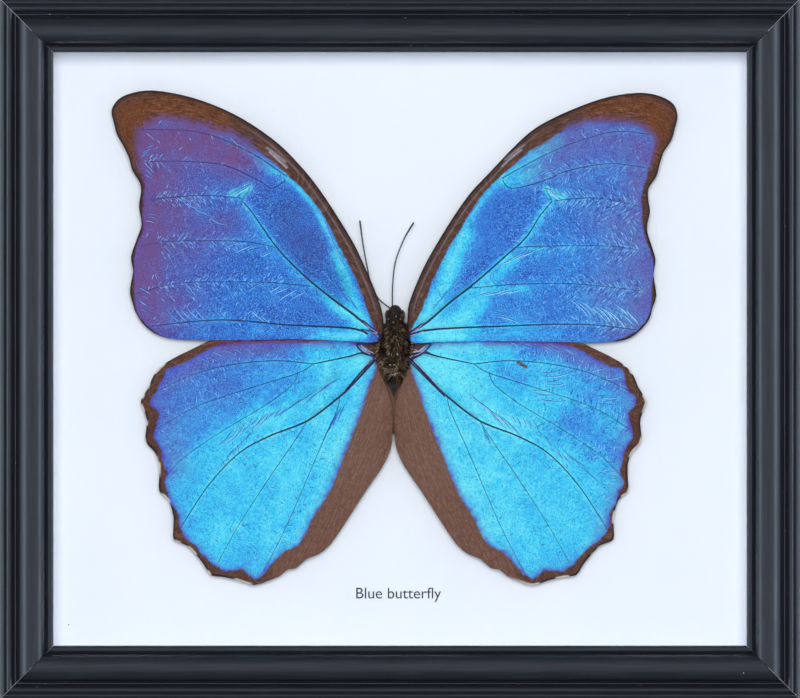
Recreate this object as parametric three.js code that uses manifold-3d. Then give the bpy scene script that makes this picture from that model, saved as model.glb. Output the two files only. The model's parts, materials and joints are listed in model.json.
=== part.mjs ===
// Framed butterfly specimen: a black mitred moulding with glass, spacers, a white mount board and a back
// panel, and one large blue butterfly with spread wings fixed on the board.
// Millimetres, +Z up. The frame stands on its bottom rail, its glass faces -Y, and the origin is the
// bottom centre of the whole object's box.
import * as THREE from 'three';
import { mergeVertices } from 'three/addons/utils/BufferGeometryUtils.js';
import Module from 'manifold-3d';

const wasm = await Module();
wasm.setup();

// ---- Driving dimensions -------------------------------------------------------------------------

const WIDTH = 203.2;
const HEIGHT = 177.8;
const DEPTH = 25.4;

const RAIL_WIDTH = 13.6;
const RAIL_LIP_BACK = 6.5;
const RABBET_WALL = 7.6;
const MITRE_GAP = 0.08;

const FIT_GAP = 0.1;
const PANE_INSET = RABBET_WALL + 0.5;
const GLASS_THICKNESS = 2;
const SPACER_DEPTH = 10;
const SPACER_WIDTH = 5;
const BOARD_THICKNESS = 2;
const BACK_THICKNESS = 2.4;

const POINT = { width: 6, length: 11, thickness: 0.5, shoulder: 2.4, gap: 0.3 };
const HANGER = { length: 44, height: 6.4, thickness: 0.8, end: 6, toothCount: 14, toothDepth: 1.2, gap: 0.3 };
const NAIL = {
  headRadius: 1.5, headThickness: 0.6, headChamfer: 0.35,
  shankRadius: 0.55, shankBelow: 0.1, spacing: 37, gap: 0.2,
};

const HANGER_REACH = HANGER.gap + HANGER.thickness + NAIL.gap + NAIL.headThickness;
const FRONT_Y = -(DEPTH + HANGER_REACH) / 2;
const BACK_Y = FRONT_Y + DEPTH;

// The specimen's own frame: its axis of symmetry and the level where the wings meet the thorax.
const SPECIMEN_X = -1.65;
const SPECIMEN_Z = HEIGHT / 2;
const WING_THICKNESS = 0.35;
const WING_GAP = 0.4;
const FOREWING_Y = 0.2;
const HINDWING_Y = FOREWING_Y + WING_THICKNESS + WING_GAP;
const WING_DROOP = 1.4;
const WING_SPAN = 72;
const WING_RINGS = [0.4, 0.75, 1];

// ---- Materials ----------------------------------------------------------------------------------

const BLACK_PAINT = { color: 0x1b1d24, roughness: 0.35, metalness: 0 };
const CLEAR_GLASS = { color: 0xe8f0f2, roughness: 0.03, metalness: 0, transparent: true, opacity: 0.15 };
const WHITE_CARD = { color: 0xf0f4fb, roughness: 0.9, metalness: 0 };
const BROWN_BOARD = { color: 0x8a6a45, roughness: 0.85, metalness: 0 };
const STEEL = { color: 0x9a9ca0, roughness: 0.4, metalness: 1 };
const WING_BLUE = { color: 0x2f7fd6, roughness: 0.4, metalness: 0.2 };
const DARK_FUR = { color: 0x2c241a, roughness: 0.95, metalness: 0 };

const part = new THREE.Group();

function add(name, geometry, finish, parent = part) {
  const mesh = new THREE.Mesh(geometry, new THREE.MeshStandardMaterial(finish));
  mesh.name = name;
  parent.add(mesh);
  return mesh;
}

// ---- Frame rails --------------------------------------------------------------------------------

// The moulding's section: x runs inwards from the outer edge, y runs back from the crown of the bead.
function mouldingSection() {
  const section = new THREE.Shape();
  section.moveTo(0, DEPTH);
  section.lineTo(0, 4.4);
  section.quadraticCurveTo(0, 2.8, 1.2, 2.8);
  section.lineTo(1.5, 3.2);
  section.quadraticCurveTo(2.3, 1.9, 3.2, 3.1);
  section.lineTo(3.5, 3.8);
  section.lineTo(3.9, 2.9);
  section.lineTo(4.2, 2.9);
  section.lineTo(4.5, 3.6);
  section.absellipse(8.1, 3.6, 3.5, 3.6, Math.PI, 2 * Math.PI, false);
  section.lineTo(11.9, 4.1);
  section.lineTo(12.2, 3.6);
  section.quadraticCurveTo(13.6, 3.1, RAIL_WIDTH, 4.8);
  section.lineTo(RAIL_WIDTH, RAIL_LIP_BACK);
  section.lineTo(RABBET_WALL, RAIL_LIP_BACK);
  section.lineTo(RABBET_WALL, DEPTH);
  section.closePath();
  return section;
}

// A rail lies along the bottom of its own group, its ends cut at 45 degrees, and the group turns it.
function railGeometry(length, reach) {
  const options = { depth: 1, bevelEnabled: false, curveSegments: 7 };
  const geometry = new THREE.ExtrudeGeometry(mouldingSection(), options);
  const place = geometry.attributes.position;
  for (let i = 0; i < place.count; i++) {
    const inwards = place.getX(i);
    const back = place.getY(i);
    const along = (1 - 2 * place.getZ(i)) * (length / 2 - inwards - MITRE_GAP);
    place.setXYZ(i, along, FRONT_Y + back, inwards - reach);
  }
  return geometry;
}

['bottom', 'left', 'top', 'right'].forEach((side, quarter) => {
  const level = quarter % 2 === 0;
  const turned = new THREE.Group();
  turned.position.z = HEIGHT / 2;
  turned.rotation.y = quarter * Math.PI / 2;
  part.add(turned);
  const [length, across] = level ? [WIDTH, HEIGHT] : [HEIGHT, WIDTH];
  add(`rail_${side}`, railGeometry(length, across / 2), BLACK_PAINT, turned);
});

// ---- Glass, spacers, boards ---------------------------------------------------------------------

const PANE_WIDTH = WIDTH - 2 * PANE_INSET;
const PANE_HEIGHT = HEIGHT - 2 * PANE_INSET;

function slab(name, width, height, depthFrom, thickness, finish, x = 0, z = HEIGHT / 2) {
  const mesh = add(name, new THREE.BoxGeometry(width, thickness, height), finish);
  mesh.position.set(x, FRONT_Y + depthFrom + thickness / 2, z);
}

const GLASS_D = RAIL_LIP_BACK + FIT_GAP;
const SPACER_D = GLASS_D + GLASS_THICKNESS + FIT_GAP;
const BOARD_D = SPACER_D + SPACER_DEPTH + FIT_GAP;
const BACK_D = BOARD_D + BOARD_THICKNESS + FIT_GAP;

slab('glass', PANE_WIDTH, PANE_HEIGHT, GLASS_D, GLASS_THICKNESS, CLEAR_GLASS);
slab('mount_board', PANE_WIDTH, PANE_HEIGHT, BOARD_D, BOARD_THICKNESS, WHITE_CARD);
slab('back_panel', PANE_WIDTH, PANE_HEIGHT, BACK_D, BACK_THICKNESS, BROWN_BOARD);

const SIDE_SPACER_HEIGHT = PANE_HEIGHT - 2 * SPACER_WIDTH - 2 * FIT_GAP;
for (const [side, end] of [['bottom', -1], ['top', 1]]) {
  const z = HEIGHT / 2 + end * (PANE_HEIGHT - SPACER_WIDTH) / 2;
  slab(`spacer_${side}`, PANE_WIDTH, SPACER_WIDTH, SPACER_D, SPACER_DEPTH, WHITE_CARD, 0, z);
}
for (const [side, end] of [['left', -1], ['right', 1]]) {
  const x = end * (PANE_WIDTH - SPACER_WIDTH) / 2;
  slab(`spacer_${side}`, SPACER_WIDTH, SIDE_SPACER_HEIGHT, SPACER_D, SPACER_DEPTH, WHITE_CARD, x);
}

// ---- Retaining points: arrow-ended steel tabs that lie on the back panel -------------------------

function pointGeometry() {
  const outline = new THREE.Shape();
  outline.moveTo(-POINT.width / 2, 0);
  outline.lineTo(POINT.width / 2, 0);
  outline.lineTo(POINT.width / 2, POINT.length - POINT.shoulder);
  outline.lineTo(0, POINT.length);
  outline.lineTo(-POINT.width / 2, POINT.length - POINT.shoulder);
  outline.closePath();
  const geometry = new THREE.ExtrudeGeometry(outline, { depth: POINT.thickness, bevelEnabled: false });
  geometry.rotateX(Math.PI / 2);
  return geometry.translate(0, POINT.thickness, 0);
}

// Each tab's foot is at the rabbet wall, and the tab points to the middle of the frame.
const POINT_Y = FRONT_Y + BACK_D + BACK_THICKNESS + FIT_GAP;
const RABBET_X = WIDTH / 2 - RABBET_WALL - POINT.gap;
const RABBET_Z = HEIGHT / 2 - RABBET_WALL - POINT.gap;
const POINT_PLACES = [
  { x: -45, z: -RABBET_Z, turn: 0 },
  { x: 45, z: -RABBET_Z, turn: 0 },
  { x: -45, z: RABBET_Z, turn: Math.PI },
  { x: 45, z: RABBET_Z, turn: Math.PI },
  { x: -RABBET_X, z: 0, turn: Math.PI / 2 },
  { x: RABBET_X, z: 0, turn: -Math.PI / 2 },
];
POINT_PLACES.forEach(({ x, z, turn }, index) => {
  const mesh = add(`retaining_point_${index + 1}`, pointGeometry(), STEEL);
  mesh.position.set(x, POINT_Y, HEIGHT / 2 + z);
  mesh.rotation.y = turn;
});

// ---- Sawtooth hanger and its nails --------------------------------------------------------------

function hangerGeometry() {
  const half = HANGER.length / 2;
  const toothed = half - HANGER.end;
  const pitch = 2 * toothed / HANGER.toothCount;
  const outline = new THREE.Shape();
  outline.moveTo(-half, 0);
  outline.lineTo(-toothed, 0);
  for (let tooth = 0; tooth < HANGER.toothCount; tooth++) {
    const start = -toothed + tooth * pitch;
    outline.lineTo(start + pitch / 2, HANGER.toothDepth);
    outline.lineTo(start + pitch, 0);
  }
  outline.lineTo(half, 0);
  outline.lineTo(half, HANGER.height);
  outline.lineTo(-half, HANGER.height);
  outline.closePath();
  for (const end of [-1, 1]) {
    const hole = new THREE.Path();
    hole.absarc(end * NAIL.spacing / 2, HANGER.height / 2, NAIL.shankRadius + NAIL.gap, 0, 2 * Math.PI, true);
    outline.holes.push(hole);
  }
  const options = { depth: HANGER.thickness, bevelEnabled: false, curveSegments: 6 };
  const geometry = new THREE.ExtrudeGeometry(outline, options);
  geometry.rotateX(Math.PI / 2);
  return geometry.translate(0, HANGER.thickness, 0);
}

const HANGER_Z = HEIGHT - (RABBET_WALL + HANGER.height) / 2;
add('sawtooth_hanger', hangerGeometry(), STEEL).position.set(0, BACK_Y + HANGER.gap, HANGER_Z);

// A nail is turned about its own axis: its shank starts at the rail and its head lies on the hanger.
function nailGeometry() {
  const headFrom = HANGER.thickness + NAIL.gap;
  const profile = [
    [0, -NAIL.shankBelow],
    [NAIL.shankRadius, -NAIL.shankBelow],
    [NAIL.shankRadius, headFrom],
    [NAIL.headRadius, headFrom],
    [NAIL.headRadius, headFrom + NAIL.headChamfer],
    [NAIL.headRadius - NAIL.headChamfer, headFrom + NAIL.headThickness],
    [0, headFrom + NAIL.headThickness],
  ].map(([radius, along]) => new THREE.Vector2(radius, along));
  return new THREE.LatheGeometry(profile, 16);
}

for (const [side, end] of [['left', -1], ['right', 1]]) {
  const nail = add(`hanger_nail_${side}`, nailGeometry(), STEEL);
  nail.position.set(end * NAIL.spacing / 2, BACK_Y + HANGER.gap, HANGER_Z + HANGER.height / 2);
}

// ---- Specimen -----------------------------------------------------------------------------------

const specimen = new THREE.Group();
specimen.position.set(SPECIMEN_X, 0, SPECIMEN_Z);
part.add(specimen);

// Wing outlines are [distance out from the axis, height above the wing joint], from the front of the
// wing base along the leading edge, the tip, the outer margin and back along the inner edge.
const FOREWING_LEFT = [
  [2.7, 8.0], [3.7, 11.9], [5.5, 16.7], [8.5, 23.4], [10.5, 27.4], [15.6, 35.7], [20.7, 43.0], [25.8, 48.8],
  [30.9, 53.5], [38.5, 58.6], [46.1, 62.2], [53.7, 64.6], [61.3, 65.8], [66.4, 65.2], [70.0, 63.6],
  [71.8, 60.7], [71.2, 57.7], [70.4, 54.6], [68.7, 51.6], [67.3, 48.5], [66.5, 45.5], [64.6, 42.4],
  [64.3, 39.9], [64.8, 36.3], [64.1, 31.8], [65.1, 28.7], [66.8, 23.6], [66.3, 19.8], [67.1, 15.0],
  [66.5, 11.9], [65.4, 8.9], [63.2, 5.8], [59.3, 3.3], [53.0, 2.3], [39.0, 2.3], [23.7, 2.5], [11.0, 1.9],
  [5.0, 1.7], [2.8, 3.2],
];
const FOREWING_RIGHT = [
  [3.6, 8.0], [4.1, 11.9], [6.7, 18.5], [9.3, 23.7], [14.4, 32.2], [19.4, 39.4], [24.5, 44.9], [29.6, 50.3],
  [34.7, 55.1], [39.8, 58.3], [47.4, 61.7], [55.0, 64.2], [62.6, 65.2], [67.7, 64.4], [71.2, 62.4],
  [72.3, 59.4], [71.6, 56.1], [70.7, 53.1], [68.7, 50.0], [67.7, 46.7], [66.9, 43.9], [64.9, 40.9],
  [64.9, 37.8], [65.3, 34.8], [64.5, 30.5], [65.9, 25.7], [66.7, 22.6], [66.2, 18.8], [66.9, 13.7],
  [65.9, 10.4], [65.0, 7.4], [62.3, 4.3], [58.8, 2.3], [52.5, 1.6], [42.3, 1.8], [27.1, 2.0], [11.8, 1.8],
  [5.6, 1.6], [3.6, 3.2],
];
const HINDWING = [
  [4.0, 0.0], [11.4, 3.6], [24.0, 5.3], [36.8, 4.8], [45.0, 2.8], [51.8, -0.3], [57.6, -3.3], [60.9, -6.4],
  [62.2, -9.4], [64.0, -12.4], [64.3, -14.0], [63.1, -17.0], [62.8, -19.0], [63.2, -22.6], [62.4, -24.6],
  [60.8, -26.2], [59.6, -29.5], [59.8, -34.8], [59.3, -36.8], [57.3, -38.4], [56.0, -42.9], [56.2, -47.5],
  [55.4, -49.0], [52.6, -50.0], [49.5, -53.3], [48.0, -55.4], [46.5, -57.6], [43.4, -58.0], [39.4, -58.9],
  [35.5, -60.1], [32.2, -59.1], [29.0, -57.8], [27.0, -56.1], [24.9, -55.8], [22.1, -53.4], [19.1, -52.2],
  [16.0, -49.6], [11.5, -43.0], [6.8, -35.7], [3.0, -30.2], [0.8, -25.5], [0.3, -21.5], [0.4, -15.8],
  [1.1, -11.9], [2.3, -8.6], [3.6, -5.4], [4.2, -2.4],
];

// Each wing sheet sags towards the board with the square of its distance from the axis.
function wingFront(rootY, across) {
  return rootY + WING_DROOP * (across / WING_SPAN) ** 2;
}

// A thin closed sheet: rings of the outline shrunk towards a hub inside it, in front and behind.
function wingGeometry(outline, hub, rootY, side, samplesPerPoint) {
  const knots = outline.map(([x, z]) => new THREE.Vector3(x, 0, z));
  const curve = new THREE.CatmullRomCurve3(knots, true, 'catmullrom', 0.5);
  const rim = curve.getPoints(outline.length * samplesPerPoint).slice(0, -1);
  const vertices = [];
  for (const thickness of [0, WING_THICKNESS]) {
    vertices.push(side * hub[0], wingFront(rootY, hub[0]) + thickness, hub[1]);
    for (const ring of WING_RINGS) {
      for (const point of rim) {
        const across = hub[0] + ring * (point.x - hub[0]);
        const height = hub[1] + ring * (point.z - hub[1]);
        vertices.push(side * across, wingFront(rootY, across) + thickness, height);
      }
    }
  }
  const count = rim.length;
  const layer = 1 + WING_RINGS.length * count;
  const faces = [];
  const face = (a, b, c) => (side < 0 ? faces.push(a, b, c) : faces.push(a, c, b));
  for (let i = 0; i < count; i++) {
    const next = (i + 1) % count;
    face(0, 1 + i, 1 + next);
    face(layer, layer + 1 + next, layer + 1 + i);
    for (let ring = 1; ring < WING_RINGS.length; ring++) {
      const inner = 1 + (ring - 1) * count;
      const outer = 1 + ring * count;
      face(inner + i, outer + i, outer + next);
      face(inner + i, outer + next, inner + next);
      face(layer + inner + i, layer + outer + next, layer + outer + i);
      face(layer + inner + i, layer + inner + next, layer + outer + next);
    }
    const edge = 1 + (WING_RINGS.length - 1) * count;
    face(edge + i, layer + edge + i, layer + edge + next);
    face(edge + i, layer + edge + next, edge + next);
  }
  const geometry = new THREE.BufferGeometry();
  geometry.setAttribute('position', new THREE.Float32BufferAttribute(vertices, 3));
  geometry.setIndex(faces);
  return geometry;
}

const FOREWING_HUB = [9, 9];
const HINDWING_HUB = [6.2, -1.0];
add('forewing_left', wingGeometry(FOREWING_LEFT, FOREWING_HUB, FOREWING_Y, -1, 3), WING_BLUE, specimen);
add('forewing_right', wingGeometry(FOREWING_RIGHT, FOREWING_HUB, FOREWING_Y, 1, 3), WING_BLUE, specimen);
add('hindwing_left', wingGeometry(HINDWING, HINDWING_HUB, HINDWING_Y, -1, 2), WING_BLUE, specimen);
add('hindwing_right', wingGeometry(HINDWING, HINDWING_HUB, HINDWING_Y, 1, 2), WING_BLUE, specimen);

// ---- Body ---------------------------------------------------------------------------------------

// Stations down the body: height, middle across, half width, middle depth, half depth.
const BODY_STATIONS = [
  { z: 11.0, x: 0.4, wide: 0.9, y: 0.7, deep: 0.9 },
  { z: 10.2, x: 0.4, wide: 1.6, y: 0.7, deep: 1.6 },
  { z: 9.0, x: 0.4, wide: 2.1, y: 0.7, deep: 2.1 },
  { z: 7.8, x: 0.4, wide: 2.1, y: 0.8, deep: 2.2 },
  { z: 6.9, x: 0.4, wide: 1.9, y: 0.9, deep: 2.3 },
  { z: 5.8, x: 0.4, wide: 2.3, y: 1.0, deep: 3.1 },
  { z: 4.2, x: 0.4, wide: 2.6, y: 1.0, deep: 3.7 },
  { z: 2.0, x: 0.4, wide: 2.7, y: 1.0, deep: 3.9 },
  { z: -0.4, x: 0.3, wide: 2.9, y: 1.0, deep: 3.8 },
  { z: -2.6, x: 0.2, wide: 3.1, y: 1.1, deep: 3.6 },
  { z: -4.6, x: 0.1, wide: 2.8, y: 1.3, deep: 3.2 },
  { z: -6.4, x: 0, wide: 2.2, y: 1.8, deep: 2.7 },
  { z: -8.0, x: 0, wide: 1.6, y: 2.4, deep: 2.3 },
  { z: -9.4, x: 0, wide: 1.4, y: 3.1, deep: 1.7 },
  { z: -11.0, x: 0, wide: 1.6, y: 3.3, deep: 1.5 },
  { z: -14.0, x: 0, wide: 1.7, y: 3.3, deep: 1.5 },
  { z: -17.5, x: 0, wide: 1.5, y: 3.4, deep: 1.35 },
  { z: -20.0, x: 0, wide: 1.1, y: 3.6, deep: 1.0 },
  { z: -21.4, x: 0, wide: 0.6, y: 3.8, deep: 0.6 },
];
const BODY_SIDES = 16;
const BODY_END = { above: 0.3, below: 0.4 };

function bodyGeometry() {
  const vertices = [];
  for (const { z, x, wide, y, deep } of BODY_STATIONS) {
    for (let side = 0; side < BODY_SIDES; side++) {
      const angle = 2 * Math.PI * side / BODY_SIDES;
      vertices.push(x + wide * Math.cos(angle), y + deep * Math.sin(angle), z);
    }
  }
  const first = BODY_STATIONS[0];
  const last = BODY_STATIONS[BODY_STATIONS.length - 1];
  const top = vertices.length / 3;
  vertices.push(first.x, first.y, first.z + BODY_END.above);
  vertices.push(last.x, last.y, last.z - BODY_END.below);
  const faces = [];
  const lastRing = (BODY_STATIONS.length - 1) * BODY_SIDES;
  for (let side = 0; side < BODY_SIDES; side++) {
    const next = (side + 1) % BODY_SIDES;
    faces.push(top, side, next);
    faces.push(top + 1, lastRing + next, lastRing + side);
    for (let ring = 0; ring < lastRing; ring += BODY_SIDES) {
      const below = ring + BODY_SIDES;
      faces.push(ring + side, below + side, below + next);
      faces.push(ring + side, below + next, ring + next);
    }
  }
  const geometry = new THREE.BufferGeometry();
  geometry.setAttribute('position', new THREE.Float32BufferAttribute(vertices, 3));
  geometry.setIndex(faces);
  return geometry;
}

// A rod of even thickness along a smooth path.
function rodGeometry(points, radius, sides, steps) {
  const section = new THREE.Shape();
  for (let side = 0; side < sides; side++) {
    const angle = 2 * Math.PI * side / sides;
    const [x, y] = [radius * Math.cos(angle), radius * Math.sin(angle)];
    if (side === 0) section.moveTo(x, y);
    else section.lineTo(x, y);
  }
  section.closePath();
  const path = new THREE.CatmullRomCurve3(points.map(([x, y, z]) => new THREE.Vector3(x, y, z)));
  return new THREE.ExtrudeGeometry(section, { steps, bevelEnabled: false, extrudePath: path });
}

function solidOf(geometry) {
  const bare = new THREE.BufferGeometry();
  bare.setAttribute('position', geometry.attributes.position.clone());
  if (geometry.index) bare.setIndex(geometry.index.clone());
  const merged = mergeVertices(bare, 1e-4);
  const vertProperties = new Float32Array(merged.attributes.position.array);
  const triVerts = new Uint32Array(merged.index.array);
  return new wasm.Manifold(new wasm.Mesh({ numProp: 3, vertProperties, triVerts }));
}

function geometryOf(solid) {
  const { vertProperties, triVerts } = solid.getMesh();
  const geometry = new THREE.BufferGeometry();
  geometry.setAttribute('position', new THREE.BufferAttribute(vertProperties, 3));
  geometry.setIndex(new THREE.BufferAttribute(triVerts, 1));
  return geometry;
}

function ellipsoid(x, y, z, wide, deep, high) {
  return new THREE.SphereGeometry(1, 10, 8).scale(wide, deep, high).translate(x, y, z);
}

const EYE = { out: 1.35, y: 0.3, z: 8.7, wide: 0.95, deep: 1.2, high: 1.2 };
const PALP = { out: 0.5, y: 0.0, z: 10.6, wide: 0.4, deep: 0.6, high: 0.6 };
const HEAD_X = BODY_STATIONS[0].x;
const LEG_RADIUS = 0.28;
const LEGS = [
  [[1.4, 3.2, 3.0], [4.4, 3.1, 5.2], [6.2, 3.9, 1.6], [7.2, 4.5, -2.4]],
  [[1.4, 3.4, -1.4], [4.6, 3.2, -4.6], [6.0, 3.9, -8.4], [5.4, 4.5, -12.6]],
];

let body = solidOf(bodyGeometry());
for (const side of [-1, 1]) {
  const eyeX = HEAD_X + side * EYE.out;
  const palpX = HEAD_X + side * PALP.out;
  body = body.add(solidOf(ellipsoid(eyeX, EYE.y, EYE.z, EYE.wide, EYE.deep, EYE.high)));
  body = body.add(solidOf(ellipsoid(palpX, PALP.y, PALP.z, PALP.wide, PALP.deep, PALP.high)));
  for (const leg of LEGS) {
    const points = leg.map(([x, y, z]) => [side * x, y, z]);
    body = body.add(solidOf(rodGeometry(points, LEG_RADIUS, 5, 9)));
  }
}
add('butterfly_body', geometryOf(body), DARK_FUR, specimen);

// ---- Antennae -----------------------------------------------------------------------------------

const ANTENNA_RADIUS = 0.24;
const ANTENNA_Y = 1.15;
const ANTENNA_LEFT = [
  [-1.3, 10.7], [-3.9, 12.9], [-5.7, 16.5], [-6.7, 20.8], [-7.7, 26.2], [-8.6, 32.8],
];
const ANTENNA_RIGHT = [
  [-0.3, 11.9], [-0.3, 14.7], [0.0, 19.1], [0.6, 22.6], [1.7, 25.7], [3.2, 29.0], [5.2, 32.3],
];
for (const [side, route] of [['left', ANTENNA_LEFT], ['right', ANTENNA_RIGHT]]) {
  const points = route.map(([x, z]) => [x, ANTENNA_Y, z]);
  add(`antenna_${side}`, rodGeometry(points, ANTENNA_RADIUS, 6, 22), DARK_FUR, specimen);
}

export default part;
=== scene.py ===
"""Looks of the framed butterfly specimen: black mitred moulding, glass, white card stack, steel back
hardware, and one large blue butterfly with furred body, on a pale floor in soft studio light."""

import json
import logging
import math
from dataclasses import dataclass, field
from enum import Enum

import bmesh
import bpy
import numpy as np
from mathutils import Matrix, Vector
from mathutils.bvhtree import BVHTree

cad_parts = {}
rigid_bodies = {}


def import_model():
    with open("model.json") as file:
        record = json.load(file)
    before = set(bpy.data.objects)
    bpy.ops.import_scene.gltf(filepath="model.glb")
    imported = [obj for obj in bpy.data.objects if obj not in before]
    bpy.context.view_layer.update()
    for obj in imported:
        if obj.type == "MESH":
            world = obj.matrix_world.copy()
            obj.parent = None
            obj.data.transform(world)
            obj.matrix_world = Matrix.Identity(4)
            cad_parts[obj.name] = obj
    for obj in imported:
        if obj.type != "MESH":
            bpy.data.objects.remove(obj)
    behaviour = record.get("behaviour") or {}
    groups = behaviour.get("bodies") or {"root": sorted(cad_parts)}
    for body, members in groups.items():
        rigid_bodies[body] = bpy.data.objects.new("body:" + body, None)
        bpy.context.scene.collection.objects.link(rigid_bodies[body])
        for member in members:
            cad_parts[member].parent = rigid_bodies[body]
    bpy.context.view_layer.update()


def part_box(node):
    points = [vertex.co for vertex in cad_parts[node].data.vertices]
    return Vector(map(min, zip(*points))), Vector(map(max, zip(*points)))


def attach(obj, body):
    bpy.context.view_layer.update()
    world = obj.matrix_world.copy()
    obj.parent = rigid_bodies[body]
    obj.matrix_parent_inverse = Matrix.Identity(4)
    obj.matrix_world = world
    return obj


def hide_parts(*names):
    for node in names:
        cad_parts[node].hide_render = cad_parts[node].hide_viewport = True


LOG = logging.getLogger("framed_butterfly")
MM = 0.001
ROOT = "root"
LATTICE = 64
DOUBLES_MM = 0.005
RAY_START = -0.05
RAIL_SIDES = ("bottom", "left", "top", "right")

Point = tuple[float, float]
Triple = tuple[float, float, float]
Colour = Triple
RootRow = tuple[int, tuple[Triple, ...], float, float]


def linear(red: int, green: int, blue: int) -> Colour:
    """Turns a colour as a screen shows it into the linear values that a shader takes.

    Args:
        red: Red from 0 to 255.
        green: Green from 0 to 255.
        blue: Blue from 0 to 255.

    Returns:
        The three linear values from 0 to 1.
    """
    shares = (value / 255 for value in (red, green, blue))
    return tuple(s / 12.92 if s <= 0.04045 else ((s + 0.055) / 1.055) ** 2.4 for s in shares)


# ---- Operators on objects ----


def pick(piece: bpy.types.Object) -> None:
    """Makes one object the only selected and the active one.

    Args:
        piece: The object that the next operators act on.
    """
    bpy.ops.object.select_all(action="DESELECT")
    piece.select_set(True)
    bpy.context.view_layer.objects.active = piece


def apply_modifier(piece: bpy.types.Object, kind: str, **settings: object) -> None:
    """Adds one modifier to an object and applies it at once.

    Args:
        piece: The object to change.
        kind: The modifier's type.
        settings: Values for the modifier's own properties.
    """
    pick(piece)
    modifier = piece.modifiers.new(kind.lower(), kind)
    for name, value in settings.items():
        setattr(modifier, name, value)
    bpy.ops.object.modifier_apply(modifier=modifier.name)


def smooth_by_angle(piece: bpy.types.Object, degrees: float) -> None:
    """Shades an object smooth wherever its faces meet at less than an angle.

    Args:
        piece: The object to shade.
        degrees: The largest angle that is shaded smooth.
    """
    pick(piece)
    bpy.ops.object.shade_smooth_by_angle(angle=math.radians(degrees))


def ease_edges(piece: bpy.types.Object, width_mm: float, degrees: float) -> None:
    """Rounds an object's sharp edges a little and leaves its flat faces flat.

    Args:
        piece: The object to change.
        width_mm: The width of the rounding.
        degrees: The angle above which an edge is sharp.
    """
    smooth_by_angle(piece, degrees)
    apply_modifier(
        piece, "BEVEL", width=width_mm * MM, segments=2, limit_method="ANGLE",
        angle_limit=math.radians(degrees), harden_normals=True,
    )


def settle(piece: bpy.types.Object) -> bpy.types.Object:
    """Puts an object's place, turn and scale into its mesh.

    Args:
        piece: The object to settle.

    Returns:
        The same object, now at the origin.
    """
    pick(piece)
    bpy.ops.object.transform_apply(location=True, rotation=True, scale=True)
    return piece


def merged_copy(node: str, name: str) -> bpy.types.Object:
    """Copies a node of the frame into a piece of its own, with its loose triangles merged.

    Args:
        node: The node's name.
        name: The new piece's name.

    Returns:
        The copy, with clean flat faces.
    """
    mesh = bpy.data.objects[node].data.copy()
    mesh.name = name
    mesh.materials.clear()
    if "custom_normal" in mesh.attributes:
        mesh.attributes.remove(mesh.attributes["custom_normal"])
    piece = bpy.data.objects.new(name, mesh)
    bpy.context.scene.collection.objects.link(piece)
    pick(piece)
    bpy.ops.object.mode_set(mode="EDIT")
    bpy.ops.mesh.select_all(action="SELECT")
    bpy.ops.mesh.remove_doubles(threshold=DOUBLES_MM * MM)
    bpy.ops.mesh.dissolve_limited(angle_limit=math.radians(0.5))
    bpy.ops.mesh.normals_make_consistent(inside=False)
    bpy.ops.object.mode_set(mode="OBJECT")
    return piece


def mesh_piece(name: str, vertices: np.ndarray, faces: list) -> bpy.types.Object:
    """Makes an object from points and faces.

    Args:
        name: The piece's name.
        vertices: Points in metres, one row each.
        faces: Corner numbers of each face.

    Returns:
        The new object, linked to the scene.
    """
    mesh = bpy.data.meshes.new(name)
    mesh.from_pydata(vertices.tolist(), [], faces)
    mesh.update()
    piece = bpy.data.objects.new(name, mesh)
    bpy.context.scene.collection.objects.link(piece)
    return piece


def store_number(piece: bpy.types.Object, name: str, values: np.ndarray) -> None:
    """Stores one number for each point of a mesh, for its material to read.

    Args:
        piece: The object that holds the numbers.
        name: The attribute's name.
        values: One value for each point.
    """
    stored = piece.data.attributes.new(name, "FLOAT", "POINT")
    stored.data.foreach_set("value", values.astype(np.float32))


def add_ball(radius_mm: float, at_mm: Triple, rings: int) -> bpy.types.Object:
    """Adds a ball as the only selected and the active object.

    Args:
        radius_mm: Its radius.
        at_mm: Its centre.
        rings: How many rings of faces it has from pole to pole.

    Returns:
        The new ball, still to be shaped.
    """
    bpy.ops.object.select_all(action="DESELECT")
    bpy.ops.mesh.primitive_uv_sphere_add(
        segments=24, ring_count=rings, radius=radius_mm * MM, location=[value * MM for value in at_mm]
    )
    return bpy.context.active_object


def finish_piece(
    piece: bpy.types.Object, material: bpy.types.Material, stands_for: tuple[str, ...] = ()
) -> bpy.types.Object:
    """Gives a piece its material, its body and the nodes that it stands for.

    Args:
        piece: The finished object.
        material: The material that covers it, unless it has its own already.
        stands_for: Names of the frame's nodes that the piece replaces.

    Returns:
        The same object.
    """
    if not piece.data.materials:
        piece.data.materials.append(material)
    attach(piece, ROOT)
    if stands_for:
        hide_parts(*stands_for)
    LOG.info("made %s, %d faces", piece.name, len(piece.data.polygons))
    return piece


# ---- Node graphs ----


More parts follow.
